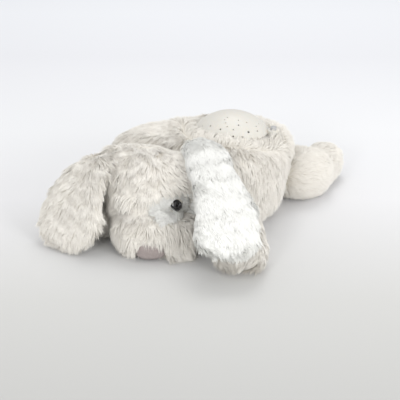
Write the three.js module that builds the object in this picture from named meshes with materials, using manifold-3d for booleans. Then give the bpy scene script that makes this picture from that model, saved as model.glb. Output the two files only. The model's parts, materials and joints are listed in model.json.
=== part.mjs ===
// A plush puppy lying flat on its belly, with a star projector in its back.
// Millimetres. +Z is up, +Y points to the tail, and +X is the puppy's left side.
// The origin is on the table, straight below the projector's axis.
import * as THREE from 'three';
import { mergeVertices } from 'three/addons/utils/BufferGeometryUtils.js';
import Module from 'manifold-3d';

const wasm = await Module();
wasm.setup();

// Clearances and margins
const seam = 0.3; // between two pieces that touch
const overrun = 2; // how far a cutter runs past the face that it opens
const sewnGap = 0.6; // round a fabric flap in its recess
const sweptGap = 1.4; // between a leg and what the head sweeps

// Torso, a flat-bellied pad that is widest under the projector
const torsoFront = 80; // from the projector's axis to the neck
const torsoRear = 78; // from the projector's axis to the rump
const torsoHalfWidth = 68;
const torsoBend = 26; // how far the shoulders lean to the right, towards the head
const torsoHeight = 86;
const torsoSink = 6; // depth that the table flattens off the belly

// Projector dome, whose rim shows in the back
const domeRadius = 38;
const domeRise = 18;
const domeWall = 1.8;
const rimInset = 2; // of the dome's rim below the top of the back
const rimHeight = torsoHeight - rimInset;
const skirtDepth = 8;
const flangeLap = 6; // how far the flange reaches past the rim
const flangeRadius = domeRadius + flangeLap;
const flangeThickness = 2;
const starLarge = 1.25; // radii of the star holes
const starMedium = 0.95;
const starSmall = 0.7;

// Projector housing below the dome
const housingWall = 2;
const housingBottom = 9;
const deckHeight = 27; // from the table to the underside of the inner deck
const deckThickness = 2;
const liningThickness = 1.2;

// Power button, beside the dome's rim
const buttonTurn = 19; // degrees from +X towards +Y
const buttonRadius = 3;
const buttonFootRadius = 3.8;
const buttonFootThickness = 2.7;
const buttonProud = 3;
const buttonTravel = 1.2;
const turretWall = 1.8;
const turretHeight = 3; // above the dome's rim
const turretLip = 2.5;
const switchBoardRadius = 3.8;
const switchBoardThickness = 1.2;
const switchSide = 4.5;
const switchThickness = 3.2;
const plungerRadius = 1.2;

// Batteries, three of the AAA size, and their bay
const batteryCount = 3;
const batteryRadius = 5.25;
const batteryLength = 44.5;
const batteryNubRadius = 1.9;
const batteryNubLength = 0.8;
const batteryPitch = 12;
const bayRoom = 7.5; // length that the springs and contact plates need
const bayLength = batteryLength + bayRoom;
const bayDepth = 16;
const bayPlay = 1.2; // width to spare round the batteries, and round the door's ribs
const plateThickness = 0.8;
const plateWidth = 8;
const springWire = 0.35; // radius of the wire
const springTurns = 3;
const springRadius = 3.2;
const doorThickness = 2;
const doorRibThickness = 2;
const doorCornerRadius = 2;
const doorLap = 2.25; // how far the door laps over the bay's sides
const doorTabRadius = 4.5; // round the door's screw

// Light board with its lamps
const boardRadius = 24;
const boardThickness = 1.6;
const boardHeight = 50;
const postRadius = 3;
const postReach = 18;
const postCount = 3;
const lampCount = 4;
const lampRadius = 2.5;
const lampLength = 8.6;
const lampRimRadius = 2.9;
const lampRimThickness = 1;
const lampReach = 6.5;
const chipTurn = 90;
const chipLength = 9;
const chipWidth = 6;
const chipThickness = 1.6;
const leadRadius = 0.7;
const leadInset = 2.8; // from the light board's edge to where a lead is soldered
const leadStandOff = 2.1; // from the housing's wall
const leadBow = 1.4; // how far the battery leads bow outwards
const leadDrop = 4.2; // straight run of the switch lead down to the board

// Screws
const screwRadius = 1.1;
const screwHeadRadius = 2.2;
const screwCrownRadius = 1.76; // of the flat on its head
const screwHeadThickness = 1.6;
const screwLength = 7;
const bossRadius = 3.2;
const bossHeight = 4;
const housingScrewCount = 4;

// Belly opening and its flap
const bellyMargin = 7; // from the battery door's sides to the opening's
const flapMargin = 6; // from the opening's sides to the flap's
const flapThickness = 3;
const flapCornerRadius = 12;
const stripWidth = 44;
const stripLength = 9;
const stripThickness = 1;

// Head, laid on the table in front of the torso and turned to the puppy's left
const headAside = -35;
const headForward = 92;
const headTurn = 34; // degrees
const skullHalfWidth = 39;
const skullHalfLength = 44;
const skullHeight = 84;
const headSink = 4;
const muzzleHalfWidth = 36;
const muzzleReach = 63; // from the head's centre to the tip of the muzzle
const muzzleRoot = 10; // from the head's centre to the muzzle's hidden end
const muzzleHeight = 42;

// Neck, the top of the seam that the head bends at
const neckAside = -18;
const neckForward = 60;
const neckHeight = 72;

// Eyes, with their shanks and washers
const eyeRadius = 6.5;
const eyeBulge = 4;
const eyeRimThickness = 1;
const eyeShankRadius = 1.6;
const eyeShankLength = 11;
const washerRadius = 7;
const washerThickness = 1.8;
const eyeHeight = 43;
const eyeSpread = 34; // degrees from the face's middle
const patchThickness = 1.4;
const patchWidth = 42;
const patchHeight = 26;
const patchInward = 4; // how far its middle lies from the eye towards the nose

// Nose
const noseHalfWidth = 15;
const noseHalfHeight = 10;
const noseHalfDepth = 9;
const noseHeight = 11;

// Ears
const leftEarHalfWidth = 24;
const rightEarHalfWidth = 31;
const earHalfThickness = 6;
const leftEarRootHeight = 64;
const rightEarRootHeight = 64;
const leftEarRootAside = 31;
const leftEarRootBack = 16;
const leftEarTipAside = 76;
const leftEarTipForward = 104;
const leftEarTipHeight = 31;
const leftEarBow = 7; // how far the ear bows outwards
const leftEarRise = 27; // and stands above its straight line
const rightEarRootAside = 28;
const rightEarRootBack = 8;
const rightEarTipAside = 84;
const rightEarTipForward = 38;
const rightEarTipHeight = 5;
const rightEarBow = 10;
const rightEarRise = 25;

// Forelegs
const leftShoulderAside = 38;
const rightShoulderAside = 60;
const shoulderForward = 48;
const leftPawAside = 88;
const leftPawForward = 122;
const rightPawAside = 74;
const rightPawForward = 138;
const forelegHalfWidth = 20;
const forelegHeight = 33;

// Hind legs
const hipAside = 38;
const hipBack = 34;
const footAside = 50;
const footBack = 134;
const hindLegHalfWidth = 24;
const hindLegHeight = 46;

// Tail
const tailLength = 42;
const tailHalfWidth = 9;
const tailHeight = 24;
const tailRoot = 74;

// Soft pieces lie a little into the table before the table cuts them flat
const limbSink = 2;

// Ranges of the joints, in degrees
const headLift = 20;
const earLift = 60;
const legDroop = 35; // when the puppy is picked up
const tailSwing = 14;

// Facets
const roundSides = 32;
const smallSides = 14;
const tinySides = 8;
const starSides = 5;
const wireSegments = 3; // per half turn of a wire's section
const cornerSegments = 5; // per corner of a rounded plate
const patchSegments = 12; // per half turn of the eye patch
const longLeadSteps = 18;
const shortLeadSteps = 8;
const springSteps = 8; // per turn
const domeRings = 5;
const sweepStep = 10; // degrees between the copies of a swept cutter

const zAxis = new THREE.Vector3(0, 0, 1);
const vec = (x, y, z) => new THREE.Vector3(x, y, z);
const radians = THREE.MathUtils.degToRad;

// Solids: every shape is a closed BufferGeometry that holds positions alone
function tidy(geometry) {
  const bare = geometry.clone();
  bare.deleteAttribute('normal');
  bare.deleteAttribute('uv');
  return mergeVertices(bare);
}

function signedVolume(vertices, triangles) {
  let total = 0;
  const [a, b, c] = [vec(0, 0, 0), vec(0, 0, 0), vec(0, 0, 0)];
  for (let i = 0; i < triangles.length; i += 3) {
    a.fromArray(vertices, 3 * triangles[i]);
    b.fromArray(vertices, 3 * triangles[i + 1]);
    c.fromArray(vertices, 3 * triangles[i + 2]);
    total += a.dot(b.cross(c));
  }
  return total;
}

function toSolid(geometry) {
  const bare = tidy(geometry);
  const vertProperties = new Float32Array(bare.attributes.position.array);
  const whole = [];
  for (let i = 0; i < bare.index.count; i += 3) {
    const [a, b, c] = [0, 1, 2].map((k) => bare.index.getX(i + k));
    if (a !== b && b !== c && c !== a) whole.push(a, b, c);
  }
  if (signedVolume(vertProperties, whole) < 0) whole.reverse();
  const triVerts = new Uint32Array(whole);
  return new wasm.Manifold(new wasm.Mesh({ numProp: 3, vertProperties, triVerts }));
}

function toGeometry(solid) {
  const mesh = solid.getMesh();
  const positions = new Float32Array(mesh.vertProperties);
  const geometry = new THREE.BufferGeometry();
  geometry.setAttribute('position', new THREE.BufferAttribute(positions, 3));
  geometry.setIndex(new THREE.BufferAttribute(new Uint32Array(mesh.triVerts), 1));
  return geometry;
}

const combine = (step) => (first, ...rest) =>
  toGeometry(rest.reduce((all, g) => all[step](toSolid(g)), toSolid(first)));
const join = combine('add');
const cut = combine('subtract');
const common = (first, second) => toGeometry(toSolid(first).intersect(toSolid(second)));

// Turned and flat shapes
function revolve(profile, sides = roundSides) {
  const points = profile.map(([radius, height]) => new THREE.Vector2(radius, height));
  return new THREE.LatheGeometry(points, sides).rotateX(Math.PI / 2);
}

function ring(inner, outer, low, high, sides) {
  return revolve([[inner, low], [outer, low], [outer, high], [inner, high], [inner, low]], sides);
}

function rod(radius, low, high, sides) {
  return revolve([[0, low], [radius, low], [radius, high], [0, high]], sides);
}

function block(width, length, low, high) {
  return new THREE.BoxGeometry(width, length, high - low).translate(0, 0, (low + high) / 2);
}

function roundedOutline(width, length, corner) {
  const [x, y] = [width / 2, length / 2];
  const shape = new THREE.Shape();
  shape.moveTo(x, y - corner);
  shape.absarc(x - corner, y - corner, corner, 0, Math.PI / 2);
  shape.absarc(corner - x, y - corner, corner, Math.PI / 2, Math.PI);
  shape.absarc(corner - x, corner - y, corner, Math.PI, 1.5 * Math.PI);
  shape.absarc(x - corner, corner - y, corner, 1.5 * Math.PI, 2 * Math.PI);
  return shape;
}

function plate(width, length, corner, low, high) {
  const options = { depth: high - low, bevelEnabled: false, curveSegments: cornerSegments };
  const outline = roundedOutline(width, length, corner);
  return new THREE.ExtrudeGeometry(outline, options).translate(0, 0, low);
}

function tube(points, radius, steps) {
  const section = new THREE.Shape().absarc(0, 0, radius, 0, 2 * Math.PI);
  const extrudePath = new THREE.CatmullRomCurve3(points);
  const options = { steps, extrudePath, bevelEnabled: false, curveSegments: wireSegments };
  return new THREE.ExtrudeGeometry(section, options);
}

// A place around the projector's axis: reach from the axis, angle in degrees from +X
const around = (reach, turn, height = 0) =>
  vec(reach * Math.cos(radians(turn)), reach * Math.sin(radians(turn)), height);

const moved = (geometry, place) => geometry.clone().translate(place.x, place.y, place.z);

// Stuffed shapes: rounded rings along a spine, drawn in to a point at both ends.
// wide and tall are half sizes at even steps along the spine; blunt squares off the ends
// and square the rings, where 2 is an ellipse.
function smoothValue(values, share) {
  const place = share * (values.length - 1);
  const step = Math.min(Math.floor(place), values.length - 2);
  const blend = place - step;
  const smooth = blend * blend * (3 - 2 * blend);
  return values[step] * (1 - smooth) + values[step + 1] * smooth;
}

function ringPoint(angle, halfWidth, halfHeight, square) {
  const [c, s] = [Math.cos(angle), Math.sin(angle)];
  return [
    halfWidth * Math.sign(c) * Math.abs(c) ** (2 / square),
    halfHeight * Math.sign(s) * Math.abs(s) ** (2 / square),
  ];
}

function stuffedForm(form, grow = 0) {
  const { spine, wide, tall, square = 2.3, blunt = 2.6, sides = 18, rings = 11 } = form;
  const curve = new THREE.CatmullRomCurve3(spine);
  const positions = [];
  const addPole = (share, outward) => {
    const tangent = curve.getTangentAt(share).multiplyScalar(outward * grow);
    positions.push(...curve.getPointAt(share).add(tangent).toArray());
  };
  addPole(0, -1);
  for (let k = 1; k <= rings; k += 1) {
    const share = (1 - Math.cos((Math.PI * k) / (rings + 1))) / 2;
    const draw = (1 - Math.abs(2 * share - 1) ** blunt) ** (1 / blunt);
    const tangent = curve.getTangentAt(share);
    const tallAxis = zAxis.clone().addScaledVector(tangent, -tangent.z).normalize();
    const wideAxis = tangent.clone().cross(tallAxis);
    const halfWidth = smoothValue(wide, share) * draw + grow;
    const halfHeight = smoothValue(tall, share) * draw + grow;
    for (let j = 0; j < sides; j += 1) {
      const [across, up] = ringPoint((2 * Math.PI * j) / sides, halfWidth, halfHeight, square);
      const point = curve.getPointAt(share).addScaledVector(wideAxis, across);
      positions.push(...point.addScaledVector(tallAxis, up).toArray());
    }
  }
  addPole(1, 1);
  return ringedSurface(positions, sides, rings);
}

function ringedSurface(positions, sides, rings) {
  const triangles = [];
  const last = positions.length / 3 - 1;
  const at = (k, j) => 1 + k * sides + (j % sides);
  for (let j = 0; j < sides; j += 1) {
    triangles.push(0, at(0, j + 1), at(0, j));
    triangles.push(last, at(rings - 1, j), at(rings - 1, j + 1));
    for (let k = 0; k + 1 < rings; k += 1) {
      triangles.push(at(k, j), at(k, j + 1), at(k + 1, j));
      triangles.push(at(k, j + 1), at(k + 1, j + 1), at(k + 1, j));
    }
  }
  const geometry = new THREE.BufferGeometry();
  geometry.setAttribute('position', new THREE.Float32BufferAttribute(positions, 3));
  geometry.setIndex(triangles);
  return geometry;
}

// Everything below the table is cut away
const tableReach = 4 * (torsoFront + torsoRear);
const table = block(tableReach, tableReach, -torsoHeight, 0);
const onTable = (geometry) => cut(geometry, table);

// What a neighbour sweeps as seen from a piece that turns about a hinge
function swept(geometry, hinge, from, to) {
  const steps = Math.max(1, Math.ceil((to - from) / sweepStep));
  const copies = [];
  for (let k = 0; k <= steps; k += 1) {
    const angle = radians(from + ((to - from) * k) / steps);
    const turn = new THREE.Matrix4().makeRotationAxis(hinge.axis, -angle);
    const back = new THREE.Matrix4().makeTranslation(-hinge.at.x, -hinge.at.y, -hinge.at.z);
    const there = new THREE.Matrix4().makeTranslation(hinge.at.x, hinge.at.y, hinge.at.z);
    copies.push(geometry.clone().applyMatrix4(back).applyMatrix4(turn).applyMatrix4(there));
  }
  return join(...copies);
}

// Groups and materials
function material(name, color, roughness, metalness = 0) {
  return new THREE.MeshStandardMaterial({ name, color, roughness, metalness });
}

const materials = {
  beigeFur: material('beige_fur', 0xd0c8bb, 0.95),
  whiteFur: material('white_fur', 0xf4f3f0, 0.95),
  noseVelour: material('nose_velour', 0xa59a97, 0.95),
  lining: material('lining', 0xd9d2c6, 0.95),
  hookAndLoop: material('hook_and_loop', 0xe6e2da, 0.95),
  eye: material('eye_gloss', 0x0b0c0f, 0.12),
  washer: material('washer_plastic', 0xe8e7e2, 0.5),
  dome: material('dome_plastic', 0xe6ddcf, 0.5),
  housing: material('housing_plastic', 0xefece4, 0.5),
  button: material('button_plastic', 0x9d9d9f, 0.55),
  board: material('circuit_board', 0x2f6b45, 0.5),
  lamp: material('lamp_lens', 0xe9e9ea, 0.15),
  chip: material('chip_plastic', 0x1c1c1e, 0.5),
  battery: material('battery_wrap', 0x4b4f55, 0.4, 0.2),
  steel: material('bright_steel', 0xb9bcc0, 0.3, 1),
  leadRed: material('lead_red', 0xb3282c, 0.55),
  leadBlack: material('lead_black', 0x222326, 0.55),
};

const toy = new THREE.Group();
toy.userData.pivot = vec(0, 0, 0);

function addBody(parent, pivot) {
  const body = new THREE.Group();
  body.userData.pivot = pivot;
  body.position.copy(pivot).sub(parent.userData.pivot);
  parent.add(body);
  return body;
}

function addPiece(body, name, geometry, finish) {
  const local = moved(geometry, body.userData.pivot.clone().negate());
  const piece = new THREE.Mesh(local.index ? local.toNonIndexed() : local, finish);
  piece.geometry.computeVertexNormals();
  piece.name = name;
  body.add(piece);
}

// Torso form
const torsoAlongShares = [-1, -0.5, 0, 0.5, 1];
const torsoWideShares = [0.96, 1.02, 0.94, 0.74, 0.58];
const torsoTallShares = [0.92, 1.02, 1, 0.96, 0.84];
const torsoRiseShares = [0.72, 1.02, 1, 0.95, 0.6]; // of the spine, which dips at both ends
const torsoBendShares = [1, 0.6, 0.25, 0.05, 0];
const torsoHalfHeight = (torsoHeight + torsoSink) / 2;
const torsoForm = {
  spine: torsoAlongShares.map((share, k) => vec(
    -torsoBendShares[k] * torsoBend,
    share < 0 ? share * torsoFront : share * torsoRear,
    torsoRiseShares[k] * (torsoHeight - torsoHalfHeight),
  )),
  wide: torsoWideShares.map((share) => share * torsoHalfWidth),
  tall: torsoTallShares.map((share) => share * torsoHalfHeight),
  square: 3.2,
  blunt: 2.9,
  sides: 24,
  rings: 12,
};
const torsoHull = (grow) => stuffedForm(torsoForm, grow);

// Head forms, made facing -Y at the origin and then set in place
const headPlace = new THREE.Matrix4()
  .makeTranslation(headAside, -headForward, 0)
  .multiply(new THREE.Matrix4().makeRotationZ(radians(headTurn)));
const headPoint = (x, y, z) => vec(x, y, z).applyMatrix4(headPlace);
const headDirection = (x, y, z) => vec(x, y, z).transformDirection(headPlace);

const skullHalfHeight = (skullHeight + headSink) / 2;
const skullMiddle = skullHeight - skullHalfHeight;
const skullAlongShares = [1, 0.33, -0.33, -1];
const skullWideShares = [0.9, 1, 1, 0.97];
const skullTallShares = [0.94, 1, 1, 0.94];
const skullForm = {
  spine: skullAlongShares.map((share) => headPoint(0, share * skullHalfLength, skullMiddle)),
  wide: skullWideShares.map((share) => share * skullHalfWidth),
  tall: skullTallShares.map((share) => share * skullHalfHeight),
  square: 2.25,
  blunt: 2.3,
  sides: 22,
  rings: 11,
};
const muzzleHalfHeight = (muzzleHeight + headSink) / 2;
const muzzleForm = {
  spine: [-muzzleRoot, -muzzleReach].map((y) => headPoint(0, y, muzzleHeight - muzzleHalfHeight)),
  wide: [muzzleHalfWidth, muzzleHalfWidth],
  tall: [muzzleHalfHeight, muzzleHalfHeight],
  square: 2.3,
  blunt: 2.6,
  sides: 16,
  rings: 7,
};
const headHull = (grow) => join(stuffedForm(skullForm, grow), stuffedForm(muzzleForm, grow));

const neckHinge = { at: vec(neckAside, -neckForward, neckHeight), axis: vec(-1, 0, 0) };
const headSweep = (grow) => swept(headHull(grow), opposite(neckHinge), 0, headLift);

// Limb forms; side is 1 for the puppy's left and -1 for its right
const mirrored = (side, x, y, z) => vec(side * x, y, z);

const foreleg = (side) => (side > 0
  ? { shoulderAside: leftShoulderAside, pawAside: leftPawAside, pawForward: leftPawForward }
  : { shoulderAside: rightShoulderAside, pawAside: rightPawAside, pawForward: rightPawForward });

function forelegForm(side) {
  const { shoulderAside, pawAside, pawForward } = foreleg(side);
  const halfHeight = (forelegHeight + limbSink) / 2;
  const forelegAlongShares = [0, 0.35, 0.7, 1];
  const wideShares = [1.05, 0.95, 0.98, 1.12];
  const tallShares = [1.12, 1, 0.98, 1.04];
  return {
    spine: forelegAlongShares.map((share) => mirrored(
      side,
      shoulderAside + share * (pawAside - shoulderAside),
      -shoulderForward - share * (pawForward - shoulderForward),
      forelegHeight - halfHeight,
    )),
    wide: wideShares.map((share) => share * forelegHalfWidth),
    tall: tallShares.map((share) => share * halfHeight),
    blunt: 2.8,
  };
}

function hindLegForm(side) {
  const halfHeight = (hindLegHeight + limbSink) / 2;
  const hindAlongShares = [0, 0.3, 0.62, 1];
  const asideShares = [0, 0.85, 1.05, 1];
  const wideShares = [1.05, 1.12, 0.84, 1.02];
  const tallShares = [1.05, 1.08, 0.8, 1];
  return {
    spine: hindAlongShares.map((share, k) => mirrored(
      side,
      hipAside + asideShares[k] * (footAside - hipAside),
      hipBack + share * (footBack - hipBack),
      halfHeight * tallShares[k] - limbSink,
    )),
    wide: wideShares.map((share) => share * hindLegHalfWidth),
    tall: tallShares.map((share) => share * halfHeight),
    blunt: 2.6,
    rings: 13,
  };
}

const ear = (side) => (side > 0
  ? {
    root: [leftEarRootAside, leftEarRootBack], tip: [leftEarTipAside, -leftEarTipForward],
    rootHeight: leftEarRootHeight, tipHeight: leftEarTipHeight, bow: leftEarBow, rise: leftEarRise,
    halfWidth: leftEarHalfWidth,
  }
  : {
    root: [-rightEarRootAside, rightEarRootBack], tip: [-rightEarTipAside, -rightEarTipForward],
    rootHeight: rightEarRootHeight, tipHeight: rightEarTipHeight, bow: rightEarBow, rise: rightEarRise,
    halfWidth: rightEarHalfWidth,
  });

function earForm(side) {
  const { root, tip, rootHeight, tipHeight, bow, rise, halfWidth } = ear(side);
  const alongShares = [0, 0.12, 0.4, 0.7, 1];
  const riseShares = [0, 0.85, 1, 0.6, 0];
  const wideShares = [0.6, 0.66, 0.88, 1.16, 1.16];
  const between = (from, to, share) => from + share * (to - from);
  return {
    spine: alongShares.map((share, k) => headPoint(
      between(root[0], tip[0], share) + side * riseShares[k] * bow,
      between(root[1], tip[1], share),
      between(rootHeight, tipHeight, share) + riseShares[k] * rise,
    )),
    wide: wideShares.map((share) => share * halfWidth),
    tall: wideShares.map(() => earHalfThickness),
    blunt: 3.2,
    sides: 16,
    rings: 11,
  };
}

const tailAlongShares = [0, 0.5, 1];
const tailThickShares = [1, 1, 0.9];
const tailMiddle = tailHeight - tailHalfWidth;
const tailForm = {
  spine: tailAlongShares.map((share) => vec(0, tailRoot + share * tailLength, tailMiddle)),
  wide: tailThickShares.map((share) => share * tailHalfWidth),
  tall: tailThickShares.map((share) => share * tailHalfWidth),
  sides: 14,
  rings: 7,
};

// Where a ray from inside a shape leaves it
function leavePoint(geometry, from, direction) {
  const bothSides = new THREE.MeshBasicMaterial({ side: THREE.DoubleSide });
  const target = new THREE.Mesh(geometry, bothSides);
  const hits = new THREE.Raycaster(from, direction).intersectObject(target);
  return hits[hits.length - 1].point;
}

// Hinges
const opposite = (hinge) => ({ at: hinge.at, axis: hinge.axis.clone().negate() });

// A leg droops about a level axis across its own direction, low at its root
function legHinge(from, to) {
  const along = to.clone().sub(from).setZ(0).normalize();
  return { at: from, axis: along.clone().cross(zAxis).negate() };
}

function forelegHinge(side) {
  const { shoulderAside, pawAside, pawForward } = foreleg(side);
  const shoulder = mirrored(side, shoulderAside, -shoulderForward, limbSink);
  return legHinge(shoulder, mirrored(side, pawAside, -pawForward, 0));
}

const hindLegHinge = (side) =>
  legHinge(mirrored(side, hipAside, hipBack, limbSink), mirrored(side, footAside, footBack, 0));
const tailHinge = { at: vec(0, torsoRear, 0), axis: vec(0, 0, 1) };

// An ear turns about the seam that sews it onto the skull
function earHinge(side) {
  const { root, tip } = ear(side);
  return {
    at: leavePoint(headHull(0), headPoint(...root, 0), zAxis),
    axis: headDirection(tip[0] - root[0], tip[1] - root[1], 0).cross(zAxis),
  };
}

// Projector module
const domeSphere = (domeRadius ** 2 + domeRise ** 2) / (2 * domeRise);
const domeCentre = rimHeight + domeRise - domeSphere;
const flangeTop = rimHeight - skirtDepth;
const flangeBottom = flangeTop - flangeThickness;
const housingTop = flangeBottom - seam;
const housingRadius = domeRadius;
const housingInside = housingRadius - housingWall;
const deckTop = deckHeight + deckThickness;
const footBore = buttonFootRadius + seam;
const turretRadius = footBore + turretWall;
const turretReach = domeRadius + footBore + 2 * seam;
const turretPlace = around(turretReach, buttonTurn);
const turretTop = rimHeight + turretHeight;
const bossReach = flangeRadius - bossRadius - 2 * seam;
const counted = (count) => Array.from({ length: count }, (_, k) => k);
const bossTurns = counted(housingScrewCount).map((k) => ((k + 0.5) * 360) / housingScrewCount);

function capArc(sphere, low, high) {
  const points = [];
  for (let k = 0; k <= domeRings; k += 1) {
    const height = (angle) => domeCentre + sphere * Math.cos(angle);
    const start = Math.acos(Math.max(-1, Math.min(1, (low - domeCentre) / sphere)));
    const end = Math.acos(Math.max(-1, Math.min(1, (high - domeCentre) / sphere)));
    const angle = start + ((end - start) * k) / domeRings;
    points.push([k === domeRings ? 0 : sphere * Math.sin(angle), height(angle)]);
  }
  return points;
}

// Star holes on one half of the dome: share of a full turn, share of the rim's radius, hole radius
const starShares = [
  [0.822, 0.93, starLarge], [0.843, 0.88, starMedium], [0.886, 0.91, starLarge],
  [0.765, 0.87, starMedium], [0.773, 0.74, starMedium], [0.925, 0.82, starLarge],
  [0.978, 0.86, starMedium], [0.845, 0.73, starSmall], [0.7, 0.72, starMedium],
  [0.808, 0.65, starSmall], [0.883, 0.61, starMedium], [0.955, 0.58, starSmall],
  [0.79, 0.54, starSmall], [0.77, 0.44, starSmall], [0.783, 0.33, starSmall],
  [0.9, 0.45, starSmall], [0.033, 0.75, starSmall], [0.995, 0.76, starSmall],
  [0.622, 0.87, starSmall], [0.648, 0.81, starSmall],
];

function starCutter(turn, reach, radius) {
  const height = Math.sqrt(domeSphere ** 2 - reach ** 2);
  const outward = around(reach, turn, height).normalize();
  const toOutward = new THREE.Matrix4().makeRotationFromQuaternion(
    new THREE.Quaternion().setFromUnitVectors(zAxis, outward));
  return rod(radius, domeSphere - domeWall - overrun, domeSphere + overrun, starSides)
    .applyMatrix4(toOutward)
    .translate(0, 0, domeCentre);
}

function buildDome() {
  const inner = domeSphere - domeWall;
  const innerRim = domeRadius - domeWall;
  const innerRimHeight = domeCentre + Math.sqrt(inner ** 2 - innerRim ** 2);
  const profile = [
    ...capArc(inner, innerRimHeight, domeCentre + inner).reverse(),
    [innerRim, flangeBottom],
    [flangeRadius, flangeBottom],
    [flangeRadius, flangeTop],
    [domeRadius, flangeTop],
    ...capArc(domeSphere, rimHeight, domeCentre + domeSphere),
  ];
  const bosses = bossTurns.map((turn) =>
    moved(rod(bossRadius, flangeBottom, flangeTop + bossHeight, smallSides), around(bossReach, turn)));
  const turret = moved(rod(turretRadius, flangeBottom, turretTop, smallSides), turretPlace);
  const footTop = turretTop - turretLip;
  const holeTop = flangeTop + bossHeight - seam;
  const turretHoles = [
    rod(footBore, flangeBottom - overrun, footTop, smallSides),
    rod(buttonRadius + seam, flangeBottom, turretTop + overrun, smallSides),
  ].map((hole) => moved(hole, turretPlace));
  const screwHoles = bossTurns.map((turn) =>
    moved(rod(screwRadius + seam, flangeBottom - overrun, holeTop, tinySides), around(bossReach, turn)));
  const stars = [0, 0.5].flatMap((half) => starShares.map(([turnShare, reachShare, radius]) =>
    starCutter(360 * (turnShare + half), reachShare * domeRadius, radius)));
  return cut(join(revolve(profile), turret, ...bosses), ...turretHoles, ...screwHoles, ...stars);
}

// Leads: battery bay to light board, and light board to switch
const boardTop = boardHeight + boardThickness;
const leadDoorway = housingTop - flangeThickness - leadRadius - seam;
const switchLead = [
  around(turretReach, buttonTurn, housingTop + seam),
  around(turretReach, buttonTurn, housingTop - flangeThickness / 2),
  around(turretReach - leadRadius, buttonTurn, leadDoorway),
  around(housingRadius + leadRadius, buttonTurn, leadDoorway),
  around(housingInside - leadStandOff, buttonTurn, leadDoorway - leadRadius),
  around((housingInside + boardRadius) / 2, buttonTurn, (housingTop + boardTop) / 2),
  around(boardRadius - leadInset, buttonTurn, boardTop + leadDrop),
  around(boardRadius - leadInset, buttonTurn, boardTop + seam),
];
const batteryLead = (side) => [
  around(boardRadius, chipTurn + side * buttonTurn, deckTop + seam),
  around(boardRadius + leadBow, chipTurn + side * buttonTurn, (deckTop + boardHeight) / 2),
  around(boardRadius - leadInset, chipTurn + side * buttonTurn, boardHeight - seam),
];

const postTurns = counted(postCount).map((k) => (180 + k * 360) / postCount - chipTurn / 3);
const bayWidth = batteryPitch * (batteryCount - 1) + 2 * batteryRadius + bayPlay;
const bayTop = housingBottom + bayDepth;

function buildHousing() {
  const underFlange = housingTop - flangeThickness;
  const shell = revolve([
    [0, housingBottom], [housingRadius, housingBottom], [housingRadius, underFlange],
    [flangeRadius, underFlange], [flangeRadius, housingTop], [housingInside, housingTop],
    [housingInside, deckTop], [0, deckTop],
  ]);
  const lug = moved(rod(turretRadius, underFlange, housingTop, smallSides), turretPlace);
  const posts = postTurns.map((turn) =>
    moved(rod(postRadius, deckHeight, boardHeight - seam, smallSides), around(postReach, turn)));
  const postHole = rod(screwRadius + seam, boardHeight - screwLength, boardHeight, tinySides);
  const flangeHole = rod(screwRadius + seam, underFlange - overrun, housingTop + overrun, tinySides);
  const doorScrewTop = housingBottom + screwLength + overrun;
  return cut(
    join(shell, lug, ...posts),
    block(bayWidth, bayLength, housingBottom - overrun, bayTop),
    doorPlate(seam).translate(0, 0, housingBottom),
    moved(rod(screwRadius + seam, housingBottom - overrun, doorScrewTop, tinySides), doorScrewPlace),
    ...postTurns.map((turn) => moved(postHole, around(postReach, turn))),
    ...bossTurns.map((turn) => moved(flangeHole, around(bossReach, turn))),
    tube(switchLead, leadRadius + seam, longLeadSteps),
  );
}

// Battery door: a plate with a screw tab and ribs that hold the batteries up
const doorScrewPlace = vec(0, bayLength / 2 + doorTabRadius - seam, 0);
function doorPlate(grow) {
  const low = grow ? -overrun : 0;
  const high = doorThickness + grow;
  const [width, length] = [bayWidth, bayLength].map((size) => size + 2 * (doorLap + grow));
  const cover = plate(width, length, doorCornerRadius + grow, low, high);
  return join(cover, moved(rod(doorTabRadius + grow, low, high, smallSides), doorScrewPlace));
}

const batteryHeight = bayTop - seam - batteryRadius;
const batteryPlaces = counted(batteryCount).map((k) => (k - (batteryCount - 1) / 2) * batteryPitch);

function buildDoor() {
  const ribTop = batteryHeight - batteryRadius - seam - housingBottom;
  const rib = block(bayWidth - bayPlay, doorRibThickness, 0, ribTop);
  const ribs = [-1, 1].map((side) => moved(rib, vec(0, (side * bayLength) / 4, 0)));
  const screwHole = rod(screwRadius + seam, -overrun, doorThickness + overrun, tinySides);
  const screwSeat = rod(screwHeadRadius + seam, -overrun, screwHeadThickness / 2, tinySides);
  const holes = [screwHole, screwSeat].map((hole) => moved(hole, doorScrewPlace));
  return cut(join(doorPlate(0), ...ribs), ...holes).translate(0, 0, housingBottom);
}

// A pan-head screw that points up from its head, head underside at height 0
function screw(length = screwLength) {
  return revolve([
    [0, -screwHeadThickness], [screwCrownRadius, -screwHeadThickness],
    [screwHeadRadius, -screwHeadThickness / 2], [screwHeadRadius, 0],
    [screwRadius, 0], [screwRadius, length - screwRadius], [0, length],
  ], tinySides);
}

function buildBattery() {
  const body = batteryLength - batteryNubLength;
  return revolve([
    [0, 0], [batteryRadius - seam, 0], [batteryRadius, seam], [batteryRadius, body - seam],
    [batteryRadius - seam, body], [batteryNubRadius, body],
    [batteryNubRadius, batteryLength], [0, batteryLength],
  ], smallSides);
}

function buildContactSpring(length) {
  const steps = springTurns * springSteps;
  const points = counted(steps + 1).map((k) => {
    const share = k / steps;
    const reach = springRadius * (1 - share / 2);
    return around(reach, 360 * springTurns * share, springWire + share * (length - 2 * springWire));
  });
  return tube(points, springWire, steps);
}

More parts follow.
